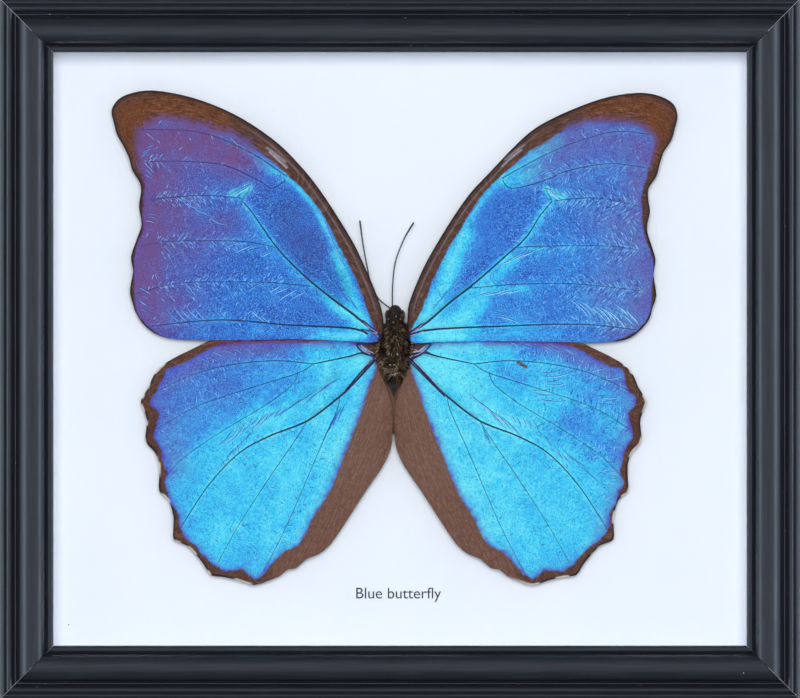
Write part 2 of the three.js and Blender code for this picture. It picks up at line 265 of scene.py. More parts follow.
class Graph:
    """A material's node graph while it is being built."""

    def __init__(self, name: str) -> None:
        """Starts a new material with its principled shader.

        Args:
            name: The material's name.
        """
        self.material = bpy.data.materials.new(name)
        self.material.use_nodes = True
        self.tree = self.material.node_tree
        self.shader = self.tree.nodes["Principled BSDF"]
        self.output = self.tree.nodes["Material Output"]

    def node(self, kind: str, **settings: object) -> bpy.types.Node:
        """Adds a node.

        Args:
            kind: The node's type.
            settings: Values for the node's own properties.

        Returns:
            The new node.
        """
        made = self.tree.nodes.new(kind)
        for name, value in settings.items():
            setattr(made, name, value)
        return made

    def wire(self, value: object, socket: bpy.types.NodeSocket) -> None:
        """Links a socket to another, or gives it a plain value.

        Args:
            value: An output socket, a number or a tuple.
            socket: The input socket.
        """
        if isinstance(value, bpy.types.NodeSocket):
            self.tree.links.new(value, socket)
        elif isinstance(value, tuple) and len(value) == 3 and socket.type == "RGBA":
            socket.default_value = (*value, 1.0)
        else:
            socket.default_value = value

    def put(self, socket: str, value: object) -> None:
        """Links or sets one socket of the graph's shader.

        Args:
            socket: The socket's name.
            value: An output socket, a number or a tuple.
        """
        self.wire(value, self.shader.inputs[socket])

    def place(self, scale: Triple = (1.0, 1.0, 1.0)) -> bpy.types.NodeSocket:
        """Gives the object's own coordinates, stretched along each axis.

        Args:
            scale: The stretch of the pattern along x, y and z.

        Returns:
            The vector socket.
        """
        source = self.node("ShaderNodeTexCoord").outputs["Object"]
        mapping = self.node("ShaderNodeMapping")
        mapping.inputs["Scale"].default_value = scale
        self.wire(source, mapping.inputs["Vector"])
        return mapping.outputs["Vector"]

    def noise(
        self, vector: bpy.types.NodeSocket, size_mm: float, detail: float = 2.0, rough: float = 0.5
    ) -> bpy.types.NodeSocket:
        """Adds a noise pattern.

        Args:
            vector: Where the pattern is read, in metres.
            size_mm: The size of its blotches in millimetres.
            detail: How many finer layers it has.
            rough: How strong the finer layers are.

        Returns:
            The value socket, from 0 to 1.
        """
        made = self.node("ShaderNodeTexNoise")
        self.wire(vector, made.inputs["Vector"])
        made.inputs["Scale"].default_value = 1 / (size_mm * MM)
        made.inputs["Detail"].default_value = detail
        made.inputs["Roughness"].default_value = rough
        return made.outputs["Fac"]

    def attribute(self, name: str) -> bpy.types.NodeSocket:
        """Reads a number that is stored on the mesh.

        Args:
            name: The attribute's name.

        Returns:
            The value socket.
        """
        return self.node("ShaderNodeAttribute", attribute_name=name).outputs["Fac"]

    def math(self, operation: str, first: object, second: object = 0.0, clamp: bool = False) -> object:
        """Adds a sum of two values.

        Args:
            operation: The operation's name.
            first: A socket or a number.
            second: A socket or a number.
            clamp: Whether the result is kept from 0 to 1.

        Returns:
            The result's socket.
        """
        made = self.node("ShaderNodeMath", operation=operation, use_clamp=clamp)
        self.wire(first, made.inputs[0])
        self.wire(second, made.inputs[1])
        return made.outputs[0]

    def sway(self, pattern: object, gain: float, middle: float = 0.5) -> object:
        """Centres a pattern on 0 and scales it.

        Args:
            pattern: The pattern's socket.
            gain: What it is multiplied by.
            middle: The value that becomes 0.

        Returns:
            The result's socket.
        """
        return self.math("MULTIPLY", self.math("SUBTRACT", pattern, middle), gain)

    def blend(self, first: object, first_share: float, second: object, second_share: float) -> object:
        """Adds two patterns, each in its share.

        Args:
            first: The first pattern's socket.
            first_share: What the first is multiplied by.
            second: The second pattern's socket.
            second_share: What the second is multiplied by.

        Returns:
            The result's socket.
        """
        one = self.math("MULTIPLY", first, first_share)
        return self.math("ADD", one, self.math("MULTIPLY", second, second_share))

    def behind(self, low: float, high: float) -> object:
        """Gives 1 on faces that look backwards and 0 on those that don't.

        Args:
            low: How far back a face looks where the value leaves 0.
            high: How far back it looks where the value reaches 1.

        Returns:
            The value socket.
        """
        faces = self.node("ShaderNodeSeparateXYZ")
        self.wire(self.node("ShaderNodeNewGeometry").outputs["Normal"], faces.inputs[0])
        return self.span(faces.outputs["Y"], low, high)

    def span(
        self, value: object, low: float, high: float, to_low: object = 0.0, to_high: object = 1.0
    ) -> object:
        """Maps a range of values to another, kept inside its ends.

        Args:
            value: A socket or a number.
            low: The value that becomes to_low.
            high: The value that becomes to_high.
            to_low: The result at low, a socket or a number.
            to_high: The result at high, a socket or a number.

        Returns:
            The result's socket.
        """
        made = self.node("ShaderNodeMapRange", clamp=True)
        for number, entry in enumerate((value, low, high, to_low, to_high)):
            self.wire(entry, made.inputs[number])
        return made.outputs["Result"]

    def ramp(self, value: object, stops: tuple[tuple[float, Colour], ...]) -> bpy.types.NodeSocket:
        """Turns a value into a colour along a row of stops.

        Args:
            value: A socket from 0 to 1.
            stops: Each stop's place and its linear colour.

        Returns:
            The colour socket.
        """
        made = self.node("ShaderNodeValToRGB")
        row = made.color_ramp.elements
        while len(row) < len(stops):
            row.new(0.5)
        for entry, (at, colour) in zip(row, stops):
            entry.position = at
            entry.color = (*colour, 1.0)
        self.wire(value, made.inputs["Fac"])
        return made.outputs["Color"]

    def mix(self, share: object, first: object, second: object, blend: str = "MIX") -> bpy.types.NodeSocket:
        """Mixes two colours.

        Args:
            share: How much of the second colour shows.
            first: A colour or its socket.
            second: A colour or its socket.
            blend: The way of mixing.

        Returns:
            The mixed colour's socket.
        """
        made = self.node("ShaderNodeMix", data_type="RGBA", blend_type=blend)
        self.wire(share, made.inputs[0])
        self.wire(first, made.inputs[6])
        self.wire(second, made.inputs[7])
        return made.outputs[2]

    def bump(self, height: object, depth_mm: float, strength: float = 1.0) -> None:
        """Puts a fine relief on the shader.

        Args:
            height: The relief's socket, from 0 to 1.
            depth_mm: The depth that a height of 1 stands for.
            strength: How strong the relief shows.
        """
        made = self.node("ShaderNodeBump")
        made.inputs["Strength"].default_value = strength
        made.inputs["Distance"].default_value = depth_mm * MM
        self.wire(height, made.inputs["Height"])
        self.put("Normal", made.outputs["Normal"])

    def near(self, centre: Triple, reach_mm: float) -> bpy.types.NodeSocket:
        """Gives a value that falls from 1 at a point to 0 at a distance from it.

        Args:
            centre: The point in metres.
            reach_mm: The distance in millimetres at which the value is 0.

        Returns:
            The value socket.
        """
        away = self.node("ShaderNodeVectorMath", operation="DISTANCE")
        self.wire(self.place(), away.inputs[0])
        away.inputs[1].default_value = centre
        return self.span(away.outputs["Value"], 0.0, reach_mm * MM, 1.0, 0.0)


class SkyGraph(Graph):
    """The world's node graph while it is being built."""

    def __init__(self, name: str) -> None:
        """Starts a new world with its plain background.

        Args:
            name: The world's name.
        """
        self.world = bpy.data.worlds.new(name)
        self.world.use_nodes = True
        self.tree = self.world.node_tree
        self.shader = self.tree.nodes["Background"]


# ---- Finishes ----


class Run(Enum):
    """The direction in which a rail runs, as the stretch of its brush marks."""

    LEVEL = (0.04, 1.0, 1.0)
    UPRIGHT = (1.0, 1.0, 0.04)


@dataclass(frozen=True)
class PaleTip:
    """A small pale grey spot laid on the paint at a rail's corner."""

    x_mm: float
    z_mm: float
    y_mm: float
    reach_mm: float


@dataclass(frozen=True)
class SatinPaint:
    """Satin black paint on wood, with faint brush marks, pale grey spots at the corners and bare wood at the
    back.
    """

    run: Run
    pale_tips: tuple[PaleTip, ...] = ()
    paint: Colour = linear(27, 30, 38)
    thin: Colour = linear(40, 44, 54)
    tip_grey: Colour = linear(214, 218, 228)
    wood: Colour = linear(168, 132, 92)
    grain_dark: Colour = linear(120, 88, 56)
    roughness: float = 0.36
    wood_rougher: float = 0.35

    def material(self) -> bpy.types.Material:
        """Builds the paint's material.

        Returns:
            The new material.
        """
        g = Graph(f"satin_black_{self.run.name.lower()}")
        along = g.place(self.run.value)
        brush = g.noise(along, 0.5, 3.0, 0.6)
        blotch = g.noise(g.place(), 9.0, 2.0)
        colour = g.mix(g.span(brush, 0.45, 0.75), self.paint, self.thin)
        grit = g.noise(g.place(), 0.35, 2.0, 0.7)
        for pale_tip in self.pale_tips:
            close = g.near((pale_tip.x_mm * MM, pale_tip.y_mm * MM, pale_tip.z_mm * MM), pale_tip.reach_mm)
            pale_share = g.span(g.math("ADD", close, g.math("MULTIPLY", grit, 0.8)), 0.98, 1.12)
            colour = g.mix(pale_share, colour, self.tip_grey)
        fibre = g.noise(along, 1.1, 4.0, 0.65)
        raw = g.mix(g.span(fibre, 0.35, 0.7), self.wood, self.grain_dark)
        behind = g.behind(0.75, 0.85)
        g.put("Base Color", g.mix(behind, colour, raw))
        rough = g.span(blotch, 0.3, 0.7, self.roughness - 0.03, self.roughness + 0.05)
        g.put("Roughness", g.math("ADD", rough, g.math("MULTIPLY", behind, self.wood_rougher)))
        g.bump(g.blend(brush, 0.7, grit, 0.3), 0.02, 0.5)
        return g.material


@dataclass(frozen=True)
class ClearGlass:
    """Clear picture glass with a trace of haze, through which lamps shine unbent."""

    tint: Colour = (0.985, 0.992, 0.995)
    index: float = 1.45
    haze: float = 0.012
    shine: float = 0.22

    def material(self) -> bpy.types.Material:
        """Builds the glass material.

        Returns:
            The new material.
        """
        g = Graph("picture_glass")
        smear = g.noise(g.place((1.0, 1.0, 0.35)), 22.0, 3.0, 0.6)
        g.put("Base Color", self.tint)
        g.put("Transmission Weight", 1.0)
        g.put("IOR", self.index)
        g.put("Roughness", g.span(smear, 0.55, 0.9, 0.0, self.haze))
        g.put("Specular IOR Level", self.shine)
        clear = g.node("ShaderNodeBsdfTransparent")
        g.wire(self.tint, clear.inputs["Color"])
        pane = g.node("ShaderNodeMixShader")
        g.wire(g.node("ShaderNodeLightPath").outputs["Is Shadow Ray"], pane.inputs[0])
        g.wire(g.shader.outputs[0], pane.inputs[1])
        g.wire(clear.outputs[0], pane.inputs[2])
        g.wire(pane.outputs[0], g.output.inputs["Surface"])
        return g.material


@dataclass(frozen=True)
class WhiteCard:
    """White card with fine paper fibres."""

    light: Colour = (0.845, 0.872, 0.935)
    shade: Colour = (0.815, 0.846, 0.915)

    def material(self) -> bpy.types.Material:
        """Builds the card's material.

        Returns:
            The new material.
        """
        g = Graph("white_card")
        fibre = g.noise(g.place((1.0, 1.0, 0.5)), 0.45, 4.0, 0.65)
        cloud = g.noise(g.place(), 30.0, 2.0)
        both = g.blend(fibre, 0.6, cloud, 0.4)
        g.put("Base Color", g.mix(g.span(both, 0.4, 0.6), self.light, self.shade))
        g.put("Roughness", g.span(fibre, 0.3, 0.7, 0.82, 0.95))
        g.put("Specular IOR Level", 0.25)
        g.bump(fibre, 0.015, 0.5)
        return g.material


@dataclass(frozen=True)
class Hardboard:
    """Brown pressed board with short dark and pale fibres."""

    body: Colour = linear(128, 92, 58)
    dark: Colour = linear(88, 60, 36)
    pale: Colour = linear(170, 134, 94)

    def material(self) -> bpy.types.Material:
        """Builds the board's material.

        Returns:
            The new material.
        """
        g = Graph("brown_hardboard")
        level = g.noise(g.place((0.15, 1.0, 1.0)), 0.7, 3.0, 0.7)
        upright = g.noise(g.place((1.0, 1.0, 0.15)), 0.7, 3.0, 0.7)
        cloud = g.noise(g.place(), 14.0, 3.0)
        colour = g.mix(g.span(level, 0.5, 0.68), self.body, self.dark)
        colour = g.mix(g.span(upright, 0.56, 0.7, 0.0, 0.7), colour, self.pale)
        g.put("Base Color", g.mix(g.span(cloud, 0.35, 0.7, 0.0, 0.25), colour, self.dark))
        g.put("Roughness", g.span(level, 0.3, 0.7, 0.7, 0.9))
        g.bump(g.math("ADD", level, upright), 0.05, 0.6)
        return g.material


@dataclass(frozen=True)
class ZincSteel:
    """Zinc-plated steel with rolling marks and dull spots."""

    bright: Colour = (0.62, 0.63, 0.66)
    dull: Colour = (0.36, 0.37, 0.39)

    def material(self) -> bpy.types.Material:
        """Builds the steel's material.

        Returns:
            The new material.
        """
        g = Graph("zinc_steel")
        roll = g.noise(g.place((0.06, 1.0, 1.0)), 0.25, 3.0, 0.6)
        spot = g.noise(g.place(), 1.6, 3.0, 0.6)
        g.put("Base Color", g.mix(g.span(spot, 0.45, 0.68), self.bright, self.dull))
        g.put("Metallic", 1.0)
        g.put("Roughness", g.span(g.math("ADD", roll, spot), 0.7, 1.3, 0.28, 0.5))
        g.bump(roll, 0.012, 0.5)
        return g.material


@dataclass(frozen=True)
class WingScales:
    """Blue wing scales: tone, ripple and border come from numbers stored on the wing's mesh; the tone and
    violet numbers carry the iridescent sheen painted in as fixed colour, and glint, gloss and shadow are
    painted highlight and shade.
    """

    name: str
    tone: tuple[tuple[float, Colour], ...] = (
        (0.0, linear(34, 58, 152)),
        (0.25, linear(40, 96, 200)),
        (0.5, linear(50, 142, 224)),
        (0.72, linear(44, 198, 240)),
        (1.0, linear(112, 238, 248)),
    )
    violet: Colour = linear(108, 74, 126)
    purple: Colour = linear(84, 52, 176)
    glint: Colour = linear(118, 206, 250)
    glint_lilac: Colour = linear(180, 152, 242)
    ink: Colour = linear(12, 22, 80)
    brown: Colour = linear(100, 62, 46)
    brown_warm: Colour = linear(124, 68, 28)
    brown_fold: Colour = linear(118, 86, 73)
    brown_pale: Colour = linear(158, 124, 104)
    brown_dark: Colour = linear(36, 24, 20)
    cream: Colour = linear(222, 206, 186)
    gloss: Colour = linear(225, 228, 245)
    backs: Colour = linear(112, 88, 66)

    def material(self) -> bpy.types.Material:
        """Builds the scales' material.

        Returns:
            The new material.
        """
        g = Graph(self.name)
        grain = g.noise(g.place(), 0.25, 2.0, 0.8)
        fleck = g.noise(g.place(), 0.75, 2.0, 0.6)
        along_vein = g.node("ShaderNodeCombineXYZ")
        g.wire(g.math("MULTIPLY", g.attribute("along"), 0.16 * MM), along_vein.inputs[0])
        g.wire(g.math("MULTIPLY", g.attribute("away"), MM), along_vein.inputs[1])
        streak = g.noise(along_vein.outputs[0], 0.42, 3.0, 0.7)
        lift = g.math("ADD", g.attribute("light"), g.sway(fleck, 0.5))
        lift = g.math("ADD", lift, g.sway(streak, 0.5), clamp=True)
        # The ramp gives the wing's own blue with its iridescent sheen painted in: pale cyan where the sheen
        # is bright, deep blue where it is dark, violet where it turns.
        blue = g.mix(g.attribute("violet"), g.ramp(lift, self.tone), self.violet)
        # Painted sparkle highlights on the scale grain, cyan in the blue and lilac in the violet parts, with
        # dark specks between.
        calm = g.span(g.attribute("violet"), 0.0, 1.0, 1.0, 0.3)
        glint = g.mix(g.attribute("violet"), self.glint, self.glint_lilac)
        blue = g.mix(g.math("MULTIPLY", g.span(grain, 0.52, 0.66, 0.0, 0.8), calm), blue, glint)
        blue = g.mix(g.math("MULTIPLY", g.span(grain, 0.47, 0.34, 0.0, 0.7), calm), blue, self.ink)
        blue = g.mix(g.attribute("purple"), blue, self.purple)
        blue = g.mix(g.attribute("shadow"), blue, self.ink)
        brown = g.mix(g.attribute("warm"), self.brown, self.brown_warm)
        brown = g.mix(g.attribute("fold"), brown, self.brown_fold)
        brown = g.mix(g.span(streak, 0.5, 0.68, 0.0, 0.55), brown, self.brown_pale)
        deep = g.mix(g.attribute("fold"), self.brown_dark, self.brown)
        brown = g.mix(g.span(streak, 0.5, 0.32, 0.0, 0.7), brown, deep)
        brown = g.mix(g.span(grain, 0.52, 0.36, 0.0, 0.7), brown, deep)
        brown = g.mix(g.span(fleck, 0.5, 0.36, 0.0, 0.45), brown, deep)
        brown = g.mix(g.attribute("rim"), brown, self.brown_dark)
        brown = g.mix(g.attribute("fringe"), brown, self.cream)
        edge = g.math("ADD", g.attribute("border"), g.sway(grain, 1.6))
        colour = g.mix(g.span(edge, 0.2, 0.8), blue, brown)
        colour = g.mix(g.attribute("gloss"), colour, self.gloss)
        reverse = g.mix(g.span(fleck, 0.35, 0.65), self.backs, self.brown_dark)
        g.put("Base Color", g.mix(g.behind(0.2, 0.4), colour, reverse))
        g.put("Roughness", g.span(grain, 0.3, 0.7, 0.42, 0.6))
        g.put("Specular IOR Level", 0.3)
        g.bump(g.blend(grain, 0.6, streak, 0.4), 0.05, 0.6)
        return g.material


@dataclass(frozen=True)
class FoldLightShade:
    """Fine folds in a wing: painted shade in the hollows and painted pale blue highlights on the crests."""

    name: str
    stops: tuple[tuple[float, Colour], ...] = (
        (0.0, linear(24, 40, 120)),
        (0.3, linear(40, 84, 186)),
        (0.6, linear(86, 168, 240)),
        (1.0, linear(162, 224, 252)),
    )

    def material(self) -> bpy.types.Material:
        """Builds the folds' material.

        Returns:
            The new material.
        """
        g = Graph(self.name)
        patch = g.noise(g.place(), 0.5, 2.0, 0.6)
        tone = g.math("ADD", g.attribute("tone"), g.sway(patch, 0.4), True)
        g.put("Base Color", g.ramp(tone, self.stops))
        g.put("Roughness", g.span(patch, 0.3, 0.7, 0.4, 0.6))
        g.put("Specular IOR Level", 0.3)
        return g.material


@dataclass(frozen=True)
class Horn:
    """Dark horny veins and antennae, slightly glossy."""

    name: str
    low: Colour
    high: Colour
    roughness: float = 0.4

    def material(self) -> bpy.types.Material:
        """Builds the horn's material.

        Returns:
            The new material.
        """
        g = Graph(self.name)
        patch = g.noise(g.place(), 0.5, 2.0, 0.6)
        g.put("Base Color", g.mix(g.span(patch, 0.35, 0.65), self.low, self.high))
        g.put("Roughness", g.span(patch, 0.3, 0.7, self.roughness, self.roughness + 0.15))
        g.bump(patch, 0.02, 0.4)
        return g.material


@dataclass(frozen=True)
class Hide:
    """The body's dark skin, with thin brown folds drawn over its hind end."""

    name: str
    dark: Colour = linear(14, 10, 9)
    light: Colour = linear(50, 38, 30)
    fold: Colour = linear(96, 70, 58)
    amber: Colour = linear(110, 77, 56)

    def material(self) -> bpy.types.Material:
        """Builds the skin's material.

        Returns:
            The new material.
        """
        g = Graph(self.name)
        patch = g.noise(g.place((1.0, 1.0, 0.4)), 0.7, 3.0, 0.7)
        skin = g.mix(g.span(patch, 0.38, 0.62), self.dark, self.light)
        fold = g.mix(g.span(patch, 0.4, 0.64), self.fold, self.amber)
        g.put("Base Color", g.mix(g.attribute("covered"), skin, fold))
        g.put("Roughness", g.span(patch, 0.3, 0.7, 0.5, 0.65))
        g.bump(patch, 0.05, 0.5)
        return g.material


@dataclass(frozen=True)
class Fur:
    """Dry brown hair whose shade is stored hair by hair."""

    name: str
    stops: tuple[tuple[float, Colour], ...] = (
        (0.0, linear(12, 8, 8)),
        (0.35, linear(66, 48, 36)),
        (0.7, linear(138, 108, 78)),
        (1.0, linear(232, 214, 184)),
    )

    def material(self) -> bpy.types.Material:
        """Builds the fur's material.

        Returns:
            The new material.
        """
        g = Graph(self.name)
        patch = g.noise(g.place((1.0, 1.0, 0.6)), 1.3, 2.0, 0.6)
        shade = g.math("ADD", g.attribute("shade"), g.sway(patch, 1.9, 0.52), True)
        g.put("Base Color", g.ramp(shade, self.stops))
        g.put("Roughness", g.span(patch, 0.3, 0.7, 0.5, 0.7))
        g.put("Specular IOR Level", 0.3)
        return g.material


@dataclass(frozen=True)
class Speck:
    """A grain of dust, ink or fibre with a slightly uneven tone."""

    name: str
    low: Colour
    high: Colour

    def material(self) -> bpy.types.Material:
        """Builds the speck's material.

        Returns:
            The new material.
        """
        g = Graph(self.name)
        patch = g.noise(g.place(), 0.3, 2.0, 0.5)
        g.put("Base Color", g.mix(patch, self.low, self.high))
        g.put("Roughness", 0.8)
        return g.material


# ---- Lines, distances and noise ----


def smooth_line(points: tuple[Point, ...], step: float = 0.8, closed: bool = False) -> np.ndarray:
    """Runs a smooth curve through a few points.

    Args:
        points: The points that it passes through.
        step: The spacing of the result's points.
        closed: Whether the curve returns to its start.

    Returns:
        The curve's points, one row each.
    """
    knots = np.array(points, float)
    count = len(knots)
    pieces = []
    for first in range(count if closed else count - 1):
        around = [first - 1, first, first + 1, first + 2]
        if closed:
            a, b, c, d = (knots[i % count] for i in around)
        else:
            a, b, c, d = (knots[min(max(i, 0), count - 1)] for i in around)
        steps = max(2, int(np.linalg.norm(c - b) / step))
        t = (np.arange(steps) / steps)[:, None]
        curve = 2 * b + (c - a) * t + (2 * a - 5 * b + 4 * c - d) * t**2 + (3 * b - a - 3 * c + d) * t**3
        pieces.append(curve / 2)
    if not closed:
        pieces.append(knots[-1:])
    return np.concatenate(pieces)


@dataclass
class Nearest:
    """For each place: how far off a line is, and how far along it the nearest point lies."""

    away: np.ndarray
    along: np.ndarray


def nearest_on_line(places: np.ndarray, line: np.ndarray, closed: bool = False) -> Nearest:
    """Measures places against a line of straight pieces.

    Args:
        places: The places, one row each.
        line: The line's points, one row each.
        closed: Whether the last point joins the first.

    Returns:
        The distance and the length along the line for each place.
    """
    ends = np.roll(line, -1, axis=0) if closed else line[1:]
    starts = line if closed else line[:-1]
    reach = np.zeros(len(starts) + 1)
    reach[1:] = np.cumsum(np.linalg.norm(ends - starts, axis=1))
    best = np.full(len(places), 1e9)
    along = np.zeros(len(places))
    for number, (start, end) in enumerate(zip(starts, ends)):
        way = end - start
        length = max(float(np.hypot(*way)), 1e-9)
        gap = places - start
        share = np.clip(gap @ way / length**2, 0, 1)
        away = np.hypot(gap[:, 0] - share * way[0], gap[:, 1] - share * way[1])
        closer = away < best
        best[closer] = away[closer]
        along[closer] = reach[number] + share[closer] * length
    return Nearest(best, along)


def inside_distance(places: np.ndarray, outline: np.ndarray) -> np.ndarray:
    """Measures how far places are inside a closed outline.

    Args:
        places: The places, one row each.
        outline: The outline's points, one row each.

    Returns:
        The distance to the outline, positive inside and negative outside.
    """
    away = nearest_on_line(places, outline, closed=True).away
    inside = np.zeros(len(places), bool)
    for start, end in zip(outline, np.roll(outline, -1, axis=0)):
        crosses = (start[1] > places[:, 1]) != (end[1] > places[:, 1])
        rise = end[1] - start[1] if abs(end[1] - start[1]) > 1e-12 else 1e-12
        at = start[0] + (places[:, 1] - start[1]) * (end[0] - start[0]) / rise
        inside ^= crosses & (places[:, 0] < at)
    return np.where(inside, away, -away)


def value_noise(places: np.ndarray, size: float, seed: int) -> np.ndarray:
    """Gives smooth random values over the plane.

    Args:
        places: The places, one row each.
        size: The size of the blotches.
        seed: The seed of the random values.

    Returns:
        Values from 0 to 1.
    """
    lattice = np.random.default_rng(seed).random((LATTICE, LATTICE))
    scaled = places / size
    cell = np.floor(scaled).astype(int)
    across, up = (scaled - cell).T
    across, up = across * across * (3 - 2 * across), up * up * (3 - 2 * up)
    low, high = (cell % LATTICE).T, ((cell + 1) % LATTICE).T
    near, far = (
        lattice[low[0], row] * (1 - across) + lattice[high[0], row] * across for row in (low[1], high[1])
    )
    return near * (1 - up) + far * up


def fade(value: np.ndarray, low: float, high: float) -> np.ndarray:
    """Rises smoothly from 0 to 1 between two values.

    Args:
        value: The values.
        low: Where the result leaves 0.
        high: Where the result reaches 1.

    Returns:
        Values from 0 to 1.
    """
    share = np.clip((value - low) / (high - low), 0, 1)
    return share * share * (3 - 2 * share)


def bell(distance: np.ndarray, width: float) -> np.ndarray:
    """Falls softly from 1 at no distance towards 0.

    Args:
        distance: The distances.
        width: The distance at which about a third is left.

    Returns:
        The shares.
    """
    return np.exp(-((distance / width) ** 2))


def make_tubes(name: str, lines: list[tuple[np.ndarray, np.ndarray]], sides: int) -> bpy.types.Object:
    """Makes closed round tubes along lines, all in one object.

    Args:
        name: The object's name.
        lines: For each tube its line in millimetres of the frame and its radius at each point.
        sides: How many sides a tube has.

    Returns:
        The new object, shaded smooth.
    """
    points, faces, base = [], [], 0
    for line, radius in lines:
        way = np.gradient(line, axis=0)
        across = np.cross(way, (0.0, 1.0, 0.0))
        across /= np.linalg.norm(across, axis=1)[:, None]
        up = np.cross(way, across)
        up /= np.linalg.norm(up, axis=1)[:, None]
        count = len(line)
        for side in range(sides):
            turn = 2 * math.pi * side / sides
            points.append((line + (across * math.cos(turn) + up * math.sin(turn)) * radius[:, None]) * MM)
            this, other = base + side * count, base + (side + 1) % sides * count
            faces += [(this + i, this + i + 1, other + i + 1, other + i) for i in range(count - 1)]
        faces.append(tuple(base + side * count for side in range(sides)))
        faces.append(tuple(base + side * count + count - 1 for side in reversed(range(sides))))
        base += sides * count
    piece = mesh_piece(name, np.concatenate(points), faces)
    pick(piece)
    bpy.ops.object.mode_set(mode="EDIT")
    bpy.ops.mesh.select_all(action="SELECT")
    bpy.ops.mesh.normals_make_consistent(inside=False)
    bpy.ops.object.mode_set(mode="OBJECT")
    bpy.ops.object.shade_smooth()
    return piece


# ---- What a wing is drawn with ----
# Places on a wing are millimetres: distance out from the body's axis, then height above the wing joint.


@dataclass(frozen=True)
class Stroke:
    """A soft band of one tone laid along a line."""

    points: tuple[Point, ...]
    width: float
    level: float
    strength: float = 0.85


@dataclass(frozen=True)
class Vein:
    """A vein: a thin tube that tapers outwards, with a painted highlight on the membrane beside it."""

    points: tuple[Point, ...]
    root_radius: float = 0.15
    tip_radius: float = 0.08
    flank_highlight: float = 0.3


@dataclass(frozen=True)
class Creases:
    """A bundle of short parallel folds in the membrane, each a little bent, drawn as painted highlights with
    thin lines of painted shade beside them.
    """

    start: Point
    step: Point
    count: int
    length: float
    degrees: float
    bend: float = 0.0
    width: float = 0.16
    gain: float = 0.75


@dataclass(frozen=True)
class WingPlan:
    """All that tells one wing from another."""

    name: str
    node: str
    side: int
    root_y: float
    border: tuple[Point, ...]
    veins: tuple[Vein, ...]
    # tones lay the level of the wing's blue with its iridescent sheen painted in as fixed colour; violets lay
    # the violet share, partly the wing's own violet and partly its iridescent sheen painted in.
    tones: tuple[Stroke, ...]
    base_level: float
    violets: tuple[Stroke, ...]
    ripples: tuple[Stroke, ...]
    creases: tuple[Creases, ...]
    shadows: tuple[Stroke, ...] = ()
    glosses: tuple[Stroke, ...] = ()
    hazes: tuple[Stroke, ...] = ()
    soft_edges: tuple[Stroke, ...] = ()
    ripple_degrees: float = 54.0
    ripple_pitch: float = 0.52
    ripple_row: float = 0.85
    seed: int = 1
    fringe: float = 0.5
    cream: bool = False


